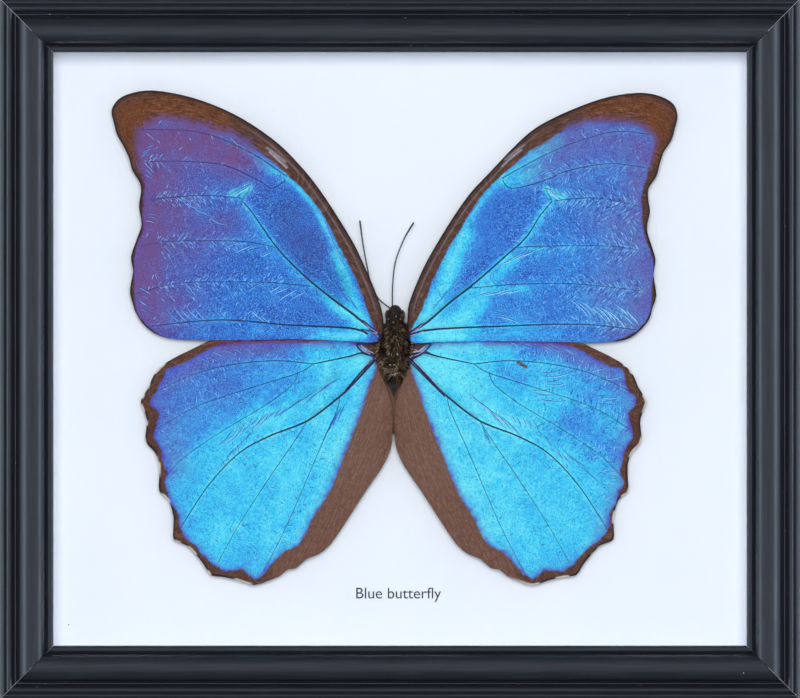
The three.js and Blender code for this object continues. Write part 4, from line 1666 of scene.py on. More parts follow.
FOREWING_LEFT = WingPlan(
    name="wing_fore_left",
    node="forewing_left",
    side=-1,
    root_y=0.2,
    border=(
        (5.4, 6.0), (6.7, 9.1), (9.0, 15.7), (11.6, 21.3), (14.1, 25.9), (16.1, 30.2), (19.4, 35.8),
        (23.7, 40.9), (26.8, 43.7), (30.6, 47.2), (35.7, 51.3), (40.8, 54.9), (46.6, 57.4), (52.5, 58.7),
        (59.3, 59.9),
        (65.2, 57.4), (65.7, 53.1), (65.2, 47.2), (63.6, 43.7), (63.1, 39.6), (63.6, 34.5), (63.6, 30.2),
        (65.2, 25.9), (65.7, 20.8), (65.7, 15.7), (65.2, 9.9), (62.4, 6.1), (58.0, 3.2), (50.0, 0.5),
        (30.0, 0.0), (7.0, 0.0), (4.4, 3.0),
    ),
    veins=(
        Vein(((6.5, 5.8), (11.0, 9.4), (16.1, 13.2), (21.2, 17.3), (26.3, 22.1), (30.1, 26.4), (33.4, 31.0),
              (36.4, 35.3), (38.7, 37.8)), 0.3, 0.12, 0.5),
        Vein(((27.1, 43.9), (36.4, 50.0), (49.1, 55.1), (64.4, 55.9)), 0.1, 0.07),
        Vein(((27.6, 42.9), (30.9, 40.9), (34.4, 42.9), (44.1, 47.0), (59.3, 47.8), (63.9, 47.2)),
             0.12, 0.07),
        Vein(((38.7, 38.4), (49.1, 39.1), (61.8, 38.1)), 0.1, 0.08),
        Vein(((30.1, 25.9), (39.0, 27.4), (56.8, 27.4), (64.4, 26.2)), 0.1, 0.07),
        Vein(((21.2, 16.0), (33.9, 17.0), (54.2, 16.8), (65.9, 14.0)), 0.1, 0.07),
        Vein(((6.5, 3.8), (11.0, 5.3), (26.3, 6.1), (44.1, 7.4), (61.8, 5.8)), 0.26, 0.08, 0.4),
        Vein(((38.7, 37.8), (37.0, 40.2), (36.4, 42.0)), 0.08, 0.06, 0.6),
        Vein(((36.4, 42.0), (40.0, 40.3), (42.0, 39.2)), 0.08, 0.06, 0.6),
    ),
    base_level=0.2,
    tones=(
        Stroke(((16, 18), (22, 26), (27, 33), (31, 38)), 5.0, 0.12, 0.8),
        Stroke(((8, 8), (10.4, 13), (12.4, 18.5), (14.4, 24)), 2.2, 0.78, 1.0),
        Stroke(((15.4, 27), (19.4, 35), (23.2, 40), (26.6, 43.2)), 0.95, 0.72, 0.95),
        Stroke(((8, 6.2), (12, 8.8), (16.5, 12.0), (20, 15.0)), 2.0, 0.84, 0.95),
        Stroke(((20, 15), (26, 20.5), (30, 24.5)), 1.8, 0.46),
        Stroke(((31, 27), (34.4, 31), (37.6, 35.6)), 1.9, 0.52),
        Stroke(((27.6, 44.4), (31, 45.6), (34, 48)), 1.7, 0.62),
        Stroke(((34, 48), (38, 50.4), (43, 53)), 1.2, 0.5, 0.7),
        Stroke(((36.6, 41.2), (38.4, 39.6), (41, 39.6)), 1.0, 0.6),
        Stroke(((8, 3.4), (14, 3.3), (20, 3.6)), 1.6, 0.86, 0.95),
        Stroke(((20, 4.0), (28, 4.4), (36, 4.8)), 1.4, 0.45),
        Stroke(((22, 12), (34, 11), (46, 11)), 4.4, 0.28, 0.6),
        Stroke(((34, 20), (44, 20), (52, 20)), 4.4, 0.22, 0.5),
    ),
    violets=(
        Stroke(((50, 24), (52, 12)), 6.0, 0.34, 0.7),
        Stroke(((52, 38), (52, 30), (44, 32)), 6.0, 0.55, 0.8),
        Stroke(((63, 44), (62, 34), (64, 22), (63, 10)), 9.0, 0.96, 0.97),
        Stroke(((64, 52), (52, 53), (40, 50)), 7.5, 1.0, 0.97),
        Stroke(((20, 24), (26, 32)), 5.0, 0.2, 0.6),
    ),
    ripples=(
        Stroke(((40, 38), (50, 38), (60, 38)), 2.6, 0.6, 0.9),
        Stroke(((34, 26.6), (48, 27), (58, 27)), 2.6, 0.55, 0.9),
        Stroke(((30, 17), (44, 17), (58, 16)), 3.0, 0.6, 0.9),
        Stroke(((30, 10), (44, 10), (58, 9)), 3.0, 0.4, 0.9),
        Stroke(((60, 44), (62, 50)), 3.0, 0.5, 0.8),
    ),
    creases=(
        Creases((30.8, 24.6), (1.3, 0.45), 7, 4.2, -20, 0.1, 0.14, 0.55),
        Creases((22.6, 14.6), (2.0, 0.5), 6, 5.4, -24, 0.1, 0.15, 0.55),
        Creases((44.0, 10.4), (1.7, 0.0), 9, 4.4, -132, 0.3, 0.14, 0.5),
        Creases((34.0, 8.4), (1.2, 0.6), 3, 3.6, -140, 0.2, 0.15, 0.6),
        Creases((46.5, 33.6), (1.5, 0.9), 7, 4.6, -158, 0.5, 0.13, 0.45),
        Creases((61.0, 45.0), (0.4, -0.9), 5, 3.0, 38, 0.1, 0.13, 0.5),
        Creases((61.4, 52.0), (0.4, -1.0), 4, 2.6, -34, 0.1, 0.13, 0.5),
        Creases((62.0, 14.0), (0.3, -1.6), 6, 3.0, 34, 0.2, 0.13, 0.5),
        Creases((60.0, 34.0), (0.4, -0.9), 5, 3.4, 14, 0.2, 0.12, 0.35),
        Creases((36.4, 41.6), (0.6, -0.5), 5, 3.0, -32, 0.1, 0.14, 0.7),
        Creases((9.0, 9.4), (1.0, 1.1), 7, 4.4, 48, 0.1, 0.13, 0.35),
        Creases((12.0, 20.0), (0.9, 1.9), 7, 4.0, 62, 0.1, 0.12, 0.5),
        Creases((30.0, 45.6), (1.8, 1.1), 8, 3.2, 36, 0.1, 0.12, 0.4),
    ),
    shadows=(
        Stroke(((16, 18), (22, 26), (27, 33)), 5.5, 0.26, 0.9),
        Stroke(((11.5, 14.5), (14.5, 19.5), (16.5, 16.8)), 1.1, 0.42, 0.8),
        Stroke(((13.6, 11.6), (16.0, 13.6)), 0.7, 0.6, 0.85),
        Stroke(((7.0, 6.4), (16.1, 13.6), (22, 18.4)), 0.4, 0.5, 0.8),
        Stroke(((7.0, 4.4), (14, 5.8), (24, 6.3)), 0.35, 0.4, 0.8),
    ),
    glosses=(
        Stroke(((27.2, 46.2), (29.6, 48.4), (31.6, 50.2)), 0.22, 0.62, 0.9),
        Stroke(((27.6, 47.6), (30.0, 49.6), (32.2, 51.2)), 0.26, 0.45, 0.9),
    ),
    hazes=(
        Stroke(((68, 58), (60, 62), (50, 61), (44, 59)), 3.7, 1.0, 0.95),
        Stroke(((68.6, 55), (66.6, 48)), 2.2, 0.8, 0.9),
        Stroke(((37, 47.2), (40, 48.4)), 1.2, 0.42, 0.8),
    ),
    soft_edges=(
        Stroke(((66, 48), (65, 55), (58, 59), (46, 57), (38, 53)), 5.0, 0.9, 0.95),
        Stroke(((64, 40), (64, 30)), 2.0, 0.2, 0.9),
    ),
    seed=23,
    fringe=0.6,
)

HIND_BORDER = (
    (4.7, -2.8), (9.3, 1.0), (22.0, 1.8), (37.2, 2.0), (44.8, 0.6), (53.7, -4.1), (57.8, -5.6), (58.5, -7.6),
    (59.3, -10.2), (61.3, -12.7), (61.3, -14.2), (59.8, -16.3), (60.3, -18.8), (60.1, -20.3), (60.8, -22.4),
    (58.8, -25.4), (58.3, -28.4), (57.5, -31.5), (58.3, -34.0), (56.8, -37.1), (56.3, -39.1), (54.7, -42.2),
    (54.2, -45.7), (52.7, -47.8), (49.7, -50.8), (46.6, -53.8), (45.1, -55.1), (42.5, -56.4), (38.5, -55.9),
    (37.5, -56.6), (35.2, -58.4), (33.4, -57.1), (30.4, -53.8), (27.8, -51.3), (25.3, -50.3), (23.7, -48.8),
    (22.2, -46.2), (20.7, -42.7), (18.2, -39.1), (15.6, -34.0), (13.6, -29.0), (11.6, -23.9), (9.5, -18.8),
    (7.5, -13.2), (6.0, -8.6), (4.7, -5.3),
)
HIND_VEINS = (
    Vein(((4.7, -2.8), (10.5, -9.1), (13.8, -12.2), (22.0, -18.3), (32.1, -22.4), (39.8, -26.9),
          (47.4, -35.1), (54.5, -46.0)), 0.3, 0.08, 0.3),
    Vein(((4.7, -1.5), (8.0, -1.0), (11.8, -2.0), (20.4, -3.8)), 0.24, 0.12, 0.3),
    Vein(((20.4, -3.8), (29.6, -3.0), (39.8, -3.8), (49.9, -6.1), (60.6, -10.9)), 0.12, 0.07, 0.25),
    Vein(((20.4, -3.8), (24.3, -6.1), (34.7, -9.4), (49.9, -14.5), (60.1, -20.3)), 0.1, 0.06, 0.15),
    Vein(((24.3, -6.1), (25.8, -9.1), (32.1, -14.0), (42.3, -20.1), (52.5, -26.9), (58.0, -32.3)),
         0.09, 0.06, 0.2),
    Vein(((22.0, -18.3), (24.5, -22.4), (32.1, -33.5), (39.8, -45.5), (44.8, -54.6)), 0.09, 0.06, 0.1),
    Vein(((13.8, -12.2), (14.4, -15.5), (19.4, -26.9), (27.1, -44.7), (33.4, -57.1)), 0.09, 0.06, 0.1),
)

HINDWING_RIGHT = WingPlan(
    name="wing_hind_right",
    node="hindwing_right",
    side=1,
    root_y=0.95,
    border=HIND_BORDER,
    veins=HIND_VEINS,
    base_level=0.74,
    tones=(
        Stroke(((34, 1), (46, -2), (56, -8)), 4.6, 0.4, 0.95),
        Stroke(((42, -8), (54, -13), (60, -18)), 4.6, 0.46, 0.85),
        Stroke(((46, -18), (56, -26)), 5.0, 0.42, 0.88),
        Stroke(((25, -11), (30, -15), (37, -20)), 2.8, 0.56, 0.75),
        Stroke(((28, -6.5), (36, -8.5)), 2.6, 0.54, 0.7),
        Stroke(((50, -34), (52, -42)), 4.4, 0.64, 0.6),
        Stroke(((6, -3), (12, -5), (18, -7.5)), 4.2, 1.0, 0.95),
        Stroke(((12, 0.5), (20, 0)), 2.2, 0.92, 0.8),
        Stroke(((20, -9), (26, -14), (22, -16)), 2.6, 0.88, 0.8),
        Stroke(((8, -10), (13, -22), (18, -34), (24, -46)), 3.0, 0.93, 0.9),
        Stroke(((18, -20), (26, -34), (32, -46)), 4.0, 0.88, 0.8),
        Stroke(((30, -26), (38, -36), (42, -44)), 4.0, 0.78, 0.7),
        Stroke(((30, -13), (36, -18), (42, -24)), 2.6, 0.68, 0.6),
    ),
    violets=(
        Stroke(((40, 1.0), (52, -4.5), (58, -9)), 2.4, 0.45, 0.9),
        Stroke(((61, -14), (60, -24), (58, -34), (54, -46)), 3.4, 0.34, 0.8),
        Stroke(((24, 1.6), (34, 1.6), (44, 0)), 1.0, 0.6, 0.9),
    ),
    ripples=(
        Stroke(((34, -1), (46, -4), (54, -8)), 4.0, 0.7, 0.9),
        Stroke(((40, -9), (52, -14), (58, -20)), 5.0, 0.75, 0.9),
        Stroke(((40, -20), (50, -26), (54, -34)), 5.0, 0.6, 0.9),
        Stroke(((34, -30), (44, -40), (42, -48)), 5.0, 0.42, 0.8),
        Stroke(((24, -40), (32, -50)), 4.0, 0.3, 0.8),
        Stroke(((10, -6), (20, -12)), 4.0, 0.05, 0.9),
    ),
    creases=(
        Creases((18.6, -11.4), (1.25, -0.85), 8, 9.0, -42, 0.15, 0.15, 0.7),
        Creases((29.6, -16.8), (1.3, -0.3), 5, 4.0, -58, 0.3, 0.15, 0.6),
        Creases((36.6, -6.4), (0.9, -0.9), 4, 8.5, 6, -0.6, 0.15, 0.6),
        Creases((34.6, -10.6), (1.2, -0.8), 4, 7.0, -4, -0.5, 0.14, 0.5),
        Creases((47.6, -3.6), (1.6, -1.0), 7, 5.4, 14, -0.2, 0.14, 0.55),
        Creases((50.0, -11.6), (1.2, -0.8), 4, 6.4, 4, -0.3, 0.13, 0.5),
        Creases((30.0, 1.4), (1.9, -0.14), 11, 4.2, -26, 0.1, 0.13, 0.4),
        Creases((36.5, -21.0), (1.2, -1.2), 6, 3.4, -50, 0.2, 0.13, 0.45),
        Creases((42.6, -25.0), (1.6, -1.6), 5, 6.4, -44, 0.1, 0.13, 0.4),
        Creases((22.4, -19.8), (0.5, -0.9), 3, 4.0, -66, 0.1, 0.13, 0.3),
    ),
    shadows=(
        Stroke(((5.4, -3.4), (10.5, -8.8), (15, -12.8), (21, -17.4)), 0.55, 0.5, 0.85),
        Stroke(((31.6, -3.4), (33.6, -4.4)), 0.35, 0.95, 0.95),
        Stroke(((5.0, -1.2), (8, -1.4), (11, -2.2)), 0.5, 0.5, 0.8),
    ),
    hazes=(
        Stroke(((26, 2.4), (36, 2.3), (46, 1.4)), 0.9, 0.7, 0.9),
        Stroke(((31.8, -3.5), (33.8, -4.6)), 0.3, 0.9, 0.9),
    ),
    ripple_degrees=74.0,
    ripple_pitch=0.8,
    seed=37,
    fringe=0.8,
    cream=True,
)

HINDWING_LEFT = WingPlan(
    name="wing_hind_left",
    node="hindwing_left",
    side=-1,
    root_y=0.95,
    border=HIND_BORDER,
    veins=HIND_VEINS,
    base_level=0.68,
    tones=(
        Stroke(((28, 0), (42, -2), (56, -8)), 5.0, 0.26, 0.95),
        Stroke(((40, -8), (54, -13), (60, -18)), 5.0, 0.3, 0.9),
        Stroke(((32, -9), (42, -15), (52, -22), (57, -30)), 3.6, 0.44, 0.8),
        Stroke(((27, -8), (30, -12)), 3.0, 0.46, 0.7),
        Stroke(((5, -2), (10, -4), (15, -6.5)), 3.6, 0.88, 0.95),
        Stroke(((12, 0.5), (18, -1)), 2.0, 0.7, 0.8),
        Stroke(((15, -9.5), (22, -15), (19, -14)), 2.4, 0.76, 0.8),
        Stroke(((8, -10), (13, -22), (18, -34), (24, -46)), 3.0, 0.88, 0.9),
        Stroke(((18, -20), (26, -34), (32, -46)), 4.0, 0.82, 0.85),
        Stroke(((28, -24), (38, -34), (44, -46)), 4.6, 0.78, 0.8),
        Stroke(((48, -36), (52, -44)), 4.0, 0.64, 0.7),
    ),
    violets=(
        Stroke(((30, 1.0), (46, -2), (57, -9)), 3.2, 0.5, 0.9),
        Stroke(((60, -14), (57, -20), (56, -30)), 4.2, 0.36, 0.8),
        Stroke(((44, -10), (52, -14)), 5.0, 0.22, 0.7),
        Stroke(((16, 1.8), (30, 1.8), (44, 0)), 1.2, 0.6, 0.9),
    ),
    ripples=(
        Stroke(((34, -1), (46, -4), (54, -8)), 4.0, 0.32, 0.9),
        Stroke(((32, -20), (40, -26), (46, -34)), 4.0, 0.4, 0.9),
        Stroke(((22, -30), (30, -42), (36, -50)), 5.0, 0.42, 0.9),
        Stroke(((40, -12), (54, -18)), 5.0, 0.22, 0.9),
    ),
    creases=(
        Creases((31.0, -14.8), (1.6, -0.9), 7, 7.0, -52, -0.7, 0.15, 0.6),
        Creases((27.0, -14.6), (1.2, -0.5), 5, 4.4, -44, 0.1, 0.14, 0.5),
        Creases((13.0, -7.4), (1.6, -0.9), 9, 6.6, -37, 0.1, 0.14, 0.4),
        Creases((12.0, -13.4), (0.7, -1.1), 4, 9.0, -63, 0.2, 0.15, 0.3),
        Creases((36.0, -0.6), (2.2, -0.6), 8, 3.2, 24, 0.1, 0.12, 0.4),
        Creases((36.0, -21.4), (1.3, -1.3), 6, 4.0, -56, 0.2, 0.13, 0.35),
    ),
    shadows=(
        Stroke(((5.4, -3.4), (10.5, -8.8), (15, -12.8), (21, -17.4)), 0.55, 0.5, 0.85),
        Stroke(((14.4, -6.4), (19, -9.8), (25, -13.6)), 0.9, 0.3, 0.8),
        Stroke(((5.0, -1.2), (8, -1.4), (11, -2.2)), 0.5, 0.5, 0.8),
    ),
    hazes=(Stroke(((22, 2.4), (34, 2.3), (46, 1.4)), 1.0, 0.7, 0.9),),
    ripple_degrees=74.0,
    ripple_pitch=0.8,
    seed=41,
    fringe=0.8,
    cream=True,
)


@dataclass
class Wings:
    """The four wings, cut from the frame's outlines and set at the frame's own depths."""

    centre_x: float = -1.65
    centre_z: float = 88.9
    plans: tuple[WingPlan, ...] = (HINDWING_LEFT, HINDWING_RIGHT, FOREWING_LEFT, FOREWING_RIGHT)
    rays: tuple[tuple[Point, ...], ...] = (
        ((4.4, -8.0), (6.6, -16.0), (10.6, -27.0), (16.4, -41.0), (19.6, -47.0)),
        ((3.6, -9.0), (5.4, -19.0), (8.4, -29.0), (13.0, -39.0)),
        ((3.0, -12.0), (4.2, -20.0), (5.8, -27.0)),
        ((5.6, -11.0), (8.6, -20.0), (12.6, -30.0)),
        ((2.4, -9.0), (3.0, -14.0), (3.4, -20.0)),
        ((4.8, -24.0), (7.0, -31.0), (10.4, -38.0)),
    )

    def build(self) -> None:
        """Makes all four wings."""
        scales = WingScales("blue_scales").material()
        horn = Horn("wing_vein", linear(18, 22, 60), linear(48, 58, 118)).material()
        pale = Horn("fold_ray", linear(106, 78, 68), linear(150, 120, 106)).material()
        fold_light_shade = FoldLightShade("fold_highlight_and_shade").material()
        for plan in self.plans:
            wing = Wing(plan, self.centre_x, self.centre_z)
            wing.build(scales)
            wing.vein_tubes(horn)
            wing.fold_lines(fold_light_shade)
            if plan.cream:
                wing.fold_rays(pale, self.rays)


# ---- Frame, glass, card stack and back hardware ----


@dataclass
class Moulding:
    """The four mitred rails."""

    arris_mm: float = 0.09
    corner_pale_tips: tuple[PaleTip, ...] = (
        PaleTip(-101.2, 177.2, -9.6, 1.4),
        PaleTip(-101.2, 0.9, -9.6, 1.5),
        PaleTip(96.6, 0.6, -9.4, 1.9),
        PaleTip(99.4, 0.6, -9.4, 1.9),
        PaleTip(101.0, 1.4, -9.4, 1.2),
    )

    def build(self) -> None:
        """Dresses each rail with eased arrises and satin paint."""
        finishes = {run: SatinPaint(run, self.corner_pale_tips).material() for run in Run}
        for side in RAIL_SIDES:
            run = Run.LEVEL if side in ("bottom", "top") else Run.UPRIGHT
            rail = merged_copy(f"rail_{side}", f"moulding_{side}")
            ease_edges(rail, self.arris_mm, 42)
            finish_piece(rail, finishes[run], (f"rail_{side}",))


@dataclass
class CardStack:
    """Glass, spacers and mount board."""

    edge_mm: float = 0.12

    def build(self) -> None:
        """Dresses the pane, the four spacers and the board."""
        card = WhiteCard().material()
        for node in ("spacer_bottom", "spacer_left", "spacer_top", "spacer_right", "mount_board"):
            piece = merged_copy(node, f"card_{node}")
            ease_edges(piece, self.edge_mm, 40)
            finish_piece(piece, card, (node,))
        pane = merged_copy("glass", "glass_pane")
        ease_edges(pane, self.edge_mm, 40)
        finish_piece(pane, ClearGlass().material(), ("glass",))


@dataclass
class BackHardware:
    """Back panel, retaining points, sawtooth hanger and its nails."""

    panel_edge_mm: float = 0.3
    steel_edge_mm: float = 0.08
    point_count: int = 6

    def build(self) -> None:
        """Dresses the panel and every steel piece."""
        panel = merged_copy("back_panel", "back_board")
        ease_edges(panel, self.panel_edge_mm, 40)
        finish_piece(panel, Hardboard().material(), ("back_panel",))
        steel = ZincSteel().material()
        nodes = [f"retaining_point_{number + 1}" for number in range(self.point_count)]
        nodes += ["sawtooth_hanger", "hanger_nail_left", "hanger_nail_right"]
        for node in nodes:
            piece = merged_copy(node, f"steel_{node}")
            ease_edges(piece, self.steel_edge_mm, 40)
            finish_piece(piece, steel, (node,))


# ---- Body and antennae ----


@dataclass
class HairCoat:
    """Hairs on a surface, each a thin cone that bends back."""

    count: int
    length: tuple[float, float]
    radius: float
    lean: Triple
    lift: float
    shade: tuple[float, float]
    seed: int
    spread: float = 0.0
    stray: float = 0.35
    back_y: float = 4.5
    axis_x: float = -1.25
    # Two lines of painted shade: hairs beside the thorax are darkened for the shaded gaps at its sides.
    shade_groove_x: float = 2.5
    shade_groove_width: float = 0.36
    shade_groove_depth: float = 0.8
    shade_groove_ends: Point = (87.6, 95.0)

    def mesh(self, base: bpy.types.Object, keep: tuple[float, float]) -> tuple[np.ndarray, list, np.ndarray]:
        """Grows the hairs.

        Args:
            base: The surface that they grow on.
            keep: The lowest and highest height in metres at which hairs start.

        Returns:
            The points, the faces and each point's shade.
        """
        rng = np.random.default_rng(self.seed)
        base.data.calc_loop_triangles()
        triangles = np.array([t.vertices[:] for t in base.data.loop_triangles])
        co = np.array([v.co[:] for v in base.data.vertices])
        a, b, c = (co[triangles[:, i]] for i in range(3))
        cross = np.cross(b - a, c - a)
        area = np.linalg.norm(cross, axis=1)
        centre = (a + b + c) / 3
        grows = (centre[:, 2] > keep[0]) & (centre[:, 2] < keep[1]) & (centre[:, 1] < self.back_y * MM)
        area = np.where(grows, area, 0)
        chosen = rng.choice(len(area), self.count, p=area / area.sum())
        u, v = rng.random(self.count), rng.random(self.count)
        flip = u + v > 1
        u[flip], v[flip] = 1 - u[flip], 1 - v[flip]
        start = a[chosen] + (b - a)[chosen] * u[:, None] + (c - a)[chosen] * v[:, None]
        normal = cross[chosen] / np.maximum(area[chosen], 1e-12)[:, None]
        length = rng.uniform(*self.length, self.count)[:, None] * MM
        lean = np.tile(np.array(self.lean, float), (self.count, 1))
        lean[:, 0] += self.spread * (start[:, 0] / MM - self.axis_x)
        way = normal * self.lift + lean + rng.normal(0, self.stray, (self.count, 3))
        way /= np.linalg.norm(way, axis=1)[:, None]
        bent = way + lean * 0.8 - normal * 0.15
        bent /= np.linalg.norm(bent, axis=1)[:, None]
        middle = start + way * length * 0.5
        tip = middle + bent * length * 0.5
        across = np.cross(way, rng.normal(0, 1, (self.count, 3)))
        across /= np.linalg.norm(across, axis=1)[:, None]
        up = np.cross(way, across)
        points = np.zeros((self.count, 7, 3))
        for corner in range(3):
            turn = 2 * math.pi * corner / 3
            out = (across * math.cos(turn) + up * math.sin(turn)) * self.radius * MM
            points[:, corner] = start + out
            points[:, 3 + corner] = middle + out * 0.75
        points[:, 6] = tip
        faces = []
        for hair in range(self.count):
            k = 7 * hair
            for i in range(3):
                j = (i + 1) % 3
                faces.append((k + i, k + j, k + 3 + j, k + 3 + i))
                faces.append((k + 3 + i, k + 3 + j, k + 6))
            faces.append((k + 2, k + 1, k))
        # Painted shade: hairs along the two grooves are darkened.
        aside = np.abs(start[:, 0] / MM - self.axis_x) - self.shade_groove_x
        low, high = self.shade_groove_ends
        beside = fade(start[:, 2] / MM, low - 1, low) * (1 - fade(start[:, 2] / MM, high, high + 1))
        groove_shade = 1 - self.shade_groove_depth * bell(aside, self.shade_groove_width) * beside
        shade = np.repeat(rng.uniform(*self.shade, self.count) * groove_shade - 0.1 * (1 - groove_shade), 7)
        return points.reshape(-1, 3), faces, shade


@dataclass
class Body:
    """Head with eyes, thorax and abdomen under a coat of brown hair."""

    voxel_mm: float = 0.16
    axis_x: float = -1.25
    joint_z: float = 88.9
    pad_y: float = 2.75
    eye_radius: float = 1.08
    eye_at: Triple = (1.4, 0.2, 8.7)
    eye_scale: Triple = (0.82, 1.1, 1.08)
    pads: tuple[tuple[float, float, float, float, float], ...] = (
        (-4.1, 0.6, 1.2, 1.9, 3.2), (3.3, 0.6, 1.1, 1.9, 3.0), (-3.3, -3.2, 1.8, 2.2, 2.4),
        (2.8, -3.2, 1.7, 2.2, 2.4), (-0.2, -3.4, 2.4, 2.4, 2.8), (-3.0, 3.9, 1.2, 1.6, 2.5),
        (2.8, 3.9, 1.2, 1.6, 2.5), (-0.1, -8.6, 2.7, 1.75, 4.2),
    )
    coats: tuple[tuple[str, float, float, HairCoat], ...] = (
        ("short", -8.5, 7.4, HairCoat(9000, (0.5, 1.2), 0.05, (0, -0.12, -0.55), 0.6, (0.0, 0.6), 5, 0.16)),
        ("head", 6.2, 9.8, HairCoat(1700, (0.4, 0.8), 0.045, (0, -0.12, -0.4), 0.7, (0.05, 0.5), 8)),
        ("long", -7.5, 5.6, HairCoat(3800, (1.1, 2.2), 0.055, (0, -0.15, -0.8), 0.45, (0.1, 0.8), 6, 0.3)),
        ("pale", -7.5, 3.5, HairCoat(430, (0.8, 1.6), 0.05, (0, -0.2, -0.5), 0.6, (0.68, 0.95), 7, 0.3)),
    )
    folds_reach: tuple[Point, ...] = (
        (-15.0, -0.3), (-12.2, 0.15), (-10.8, 0.65), (-8.8, 1.8), (-7.2, 3.2), (-6.0, 5.0),
    )
    slit_x: float = -1.5
    # The first two rows are painted highlights on the thorax and rows eight to ten painted highlights on the
    # head; the others are pale plates, dots and hairs.
    marks_and_glints: tuple[tuple[tuple[Point, ...], float], ...] = (
        (((-2.8, 87.95), (-2.8, 87.4)), 0.2),
        (((-0.65, 87.9), (-0.65, 87.3)), 0.2),
        (((-2.85, 84.85), (-2.3, 84.9)), 0.16),
        (((-1.7, 84.9), (-1.1, 84.8)), 0.15),
        (((-3.7, 81.4), (-2.7, 82.1), (-1.4, 82.5), (0.1, 83.0)), 0.1),
        (((-3.2, 81.1), (-2.2, 82.0)), 0.09),
        (((-1.7, 81.9), (-0.6, 82.9)), 0.08),
        (((-1.1, 97.3), (-0.9, 97.1)), 0.13),
        (((0.0, 96.6), (0.2, 96.4)), 0.13),
        (((-3.0, 96.7), (-2.8, 96.4)), 0.1),
        (((-2.0, 95.6), (-1.4, 95.8)), 0.08),
        (((-5.2, 92.9), (-4.9, 92.0), (-4.8, 91.5)), 0.17),
        (((2.5, 92.8), (1.9, 92.3)), 0.18),
        (((1.5, 92.1), (1.8, 91.4)), 0.17),
        (((-7.3, 88.2), (-6.6, 87.6)), 0.1),
        (((3.6, 88.9), (4.4, 88.4)), 0.1),
        (((2.6, 86.9), (3.3, 86.4)), 0.12),
        (((-6.4, 86.6), (-5.9, 86.2)), 0.1),
    )

    def build(self) -> None:
        """Makes the skin with its hinge pads, the coats of hair, the pale marks with their painted glints and
        the eyes.
        """
        skin = merged_copy("butterfly_body", "body_skin")
        for x, z, wide, deep, high in self.pads:
            pad = add_ball(1.0, (self.axis_x + x, self.pad_y, self.joint_z + z), 12)
            pad.scale = (wide, deep, high)
            settle(pad)
            skin.select_set(True)
            bpy.context.view_layer.objects.active = skin
            bpy.ops.object.join()
        apply_modifier(skin, "REMESH", mode="VOXEL", voxel_size=self.voxel_mm * MM)
        apply_modifier(skin, "SMOOTH", factor=0.5, iterations=4)
        smooth_by_angle(skin, 60)
        points = np.array([vertex.co[:] for vertex in skin.data.vertices]) / MM
        heights, widths = zip(*self.folds_reach)
        aside = np.abs(points[:, 0] - self.slit_x) - np.interp(points[:, 2] - self.joint_z, heights, widths)
        covered = fade(aside, -0.15, 0.25) * (points[:, 2] - self.joint_z < heights[-1])
        store_number(skin, "covered", covered)
        finish_piece(skin, Hide("body_hide").material(), ("butterfly_body",))
        self.pale_marks(skin)
        for kind, low, high, coat in self.coats:
            name = f"fur_{kind}"
            keep = ((self.joint_z + low) * MM, (self.joint_z + high) * MM)
            points, faces, shade = coat.mesh(skin, keep)
            piece = mesh_piece(name, points, faces)
            store_number(piece, "shade", shade)
            piece.data.polygons.foreach_set("use_smooth", [True] * len(piece.data.polygons))
            finish_piece(piece, Fur(name).material())
        self.eyes()

    def pale_marks(self, skin: bpy.types.Object) -> None:
        """Lays pale plates and hairs on the skin, and pale dots as painted highlights on the thorax and head.

        Args:
            skin: The body's skin.
        """
        tree = BVHTree.FromObject(skin, bpy.context.evaluated_depsgraph_get())
        lines = []
        for points, radius in self.marks_and_glints:
            flat = smooth_line(points, 0.25)
            depth = []
            for x, z in flat:
                hit = tree.ray_cast(Vector((x * MM, RAY_START, z * MM)), Vector((0, 1, 0)))[0]
                depth.append(0.2 if hit is None else hit.y / MM - 0.6)
            line = np.column_stack([flat[:, 0], depth, flat[:, 1]])
            share = np.linspace(0, math.pi, len(line))
            lines.append((line, radius * (0.35 + 0.65 * np.sin(share))))
        pale = Horn("pale_plate_and_glint", linear(150, 140, 126), linear(236, 228, 216), 0.3).material()
        finish_piece(make_tubes("pale_marks", lines, 6), pale)

    def eyes(self) -> None:
        """Makes the two round glossy eyes."""
        gloss = Horn("eye_gloss", linear(14, 10, 8), linear(42, 28, 20), 0.18).material()
        out, deep, up = self.eye_at
        for name, side in (("eye_left", -1), ("eye_right", 1)):
            eye = add_ball(self.eye_radius, (self.axis_x + side * out, deep, self.joint_z + up), 16)
            eye.name = name
            eye.scale = self.eye_scale
            settle(eye)
            smooth_by_angle(eye, 60)
            finish_piece(eye, gloss)


@dataclass
class Antennae:
    """Two fine rods that end in slim clubs."""

    axis_x: float = -1.65
    joint_z: float = 88.9
    depth_y: float = 1.15
    radius: float = 0.17
    club: float = 0.22
    routes: tuple[tuple[str, tuple[Point, ...]], ...] = (
        ("left", (
            (-0.7, 10.1), (-1.3, 10.7), (-3.9, 12.9), (-5.7, 16.5), (-6.7, 20.8), (-7.7, 26.2), (-8.6, 32.8),
        )),
        ("right", (
            (-0.2, 10.2), (-0.3, 11.9), (-0.3, 14.7), (0.0, 19.1), (0.6, 22.6), (1.7, 25.7), (3.2, 29.0),
            (5.2, 32.3),
        )),
    )

    def build(self) -> None:
        """Makes both antennae."""
        horn = Horn("antenna_horn", linear(34, 28, 24), linear(78, 66, 58), 0.45).material()
        for side, route in self.routes:
            line = smooth_line(route, 0.5)
            share = np.linspace(0, 1, len(line))
            swell = self.radius + (self.club - self.radius) * fade(share, 0.8, 0.94)
            swell *= 1 - 0.75 * fade(share, 0.975, 1.0)
            swell *= 1 + 0.06 * np.cos(np.arange(len(line)) * math.pi)
            depth = np.full(len(line), self.depth_y)
            rod = np.column_stack([self.axis_x + line[:, 0], depth, self.joint_z + line[:, 1]])
            finish_piece(make_tubes(f"feeler_{side}", [(rod, swell)], 8), horn, (f"antenna_{side}",))


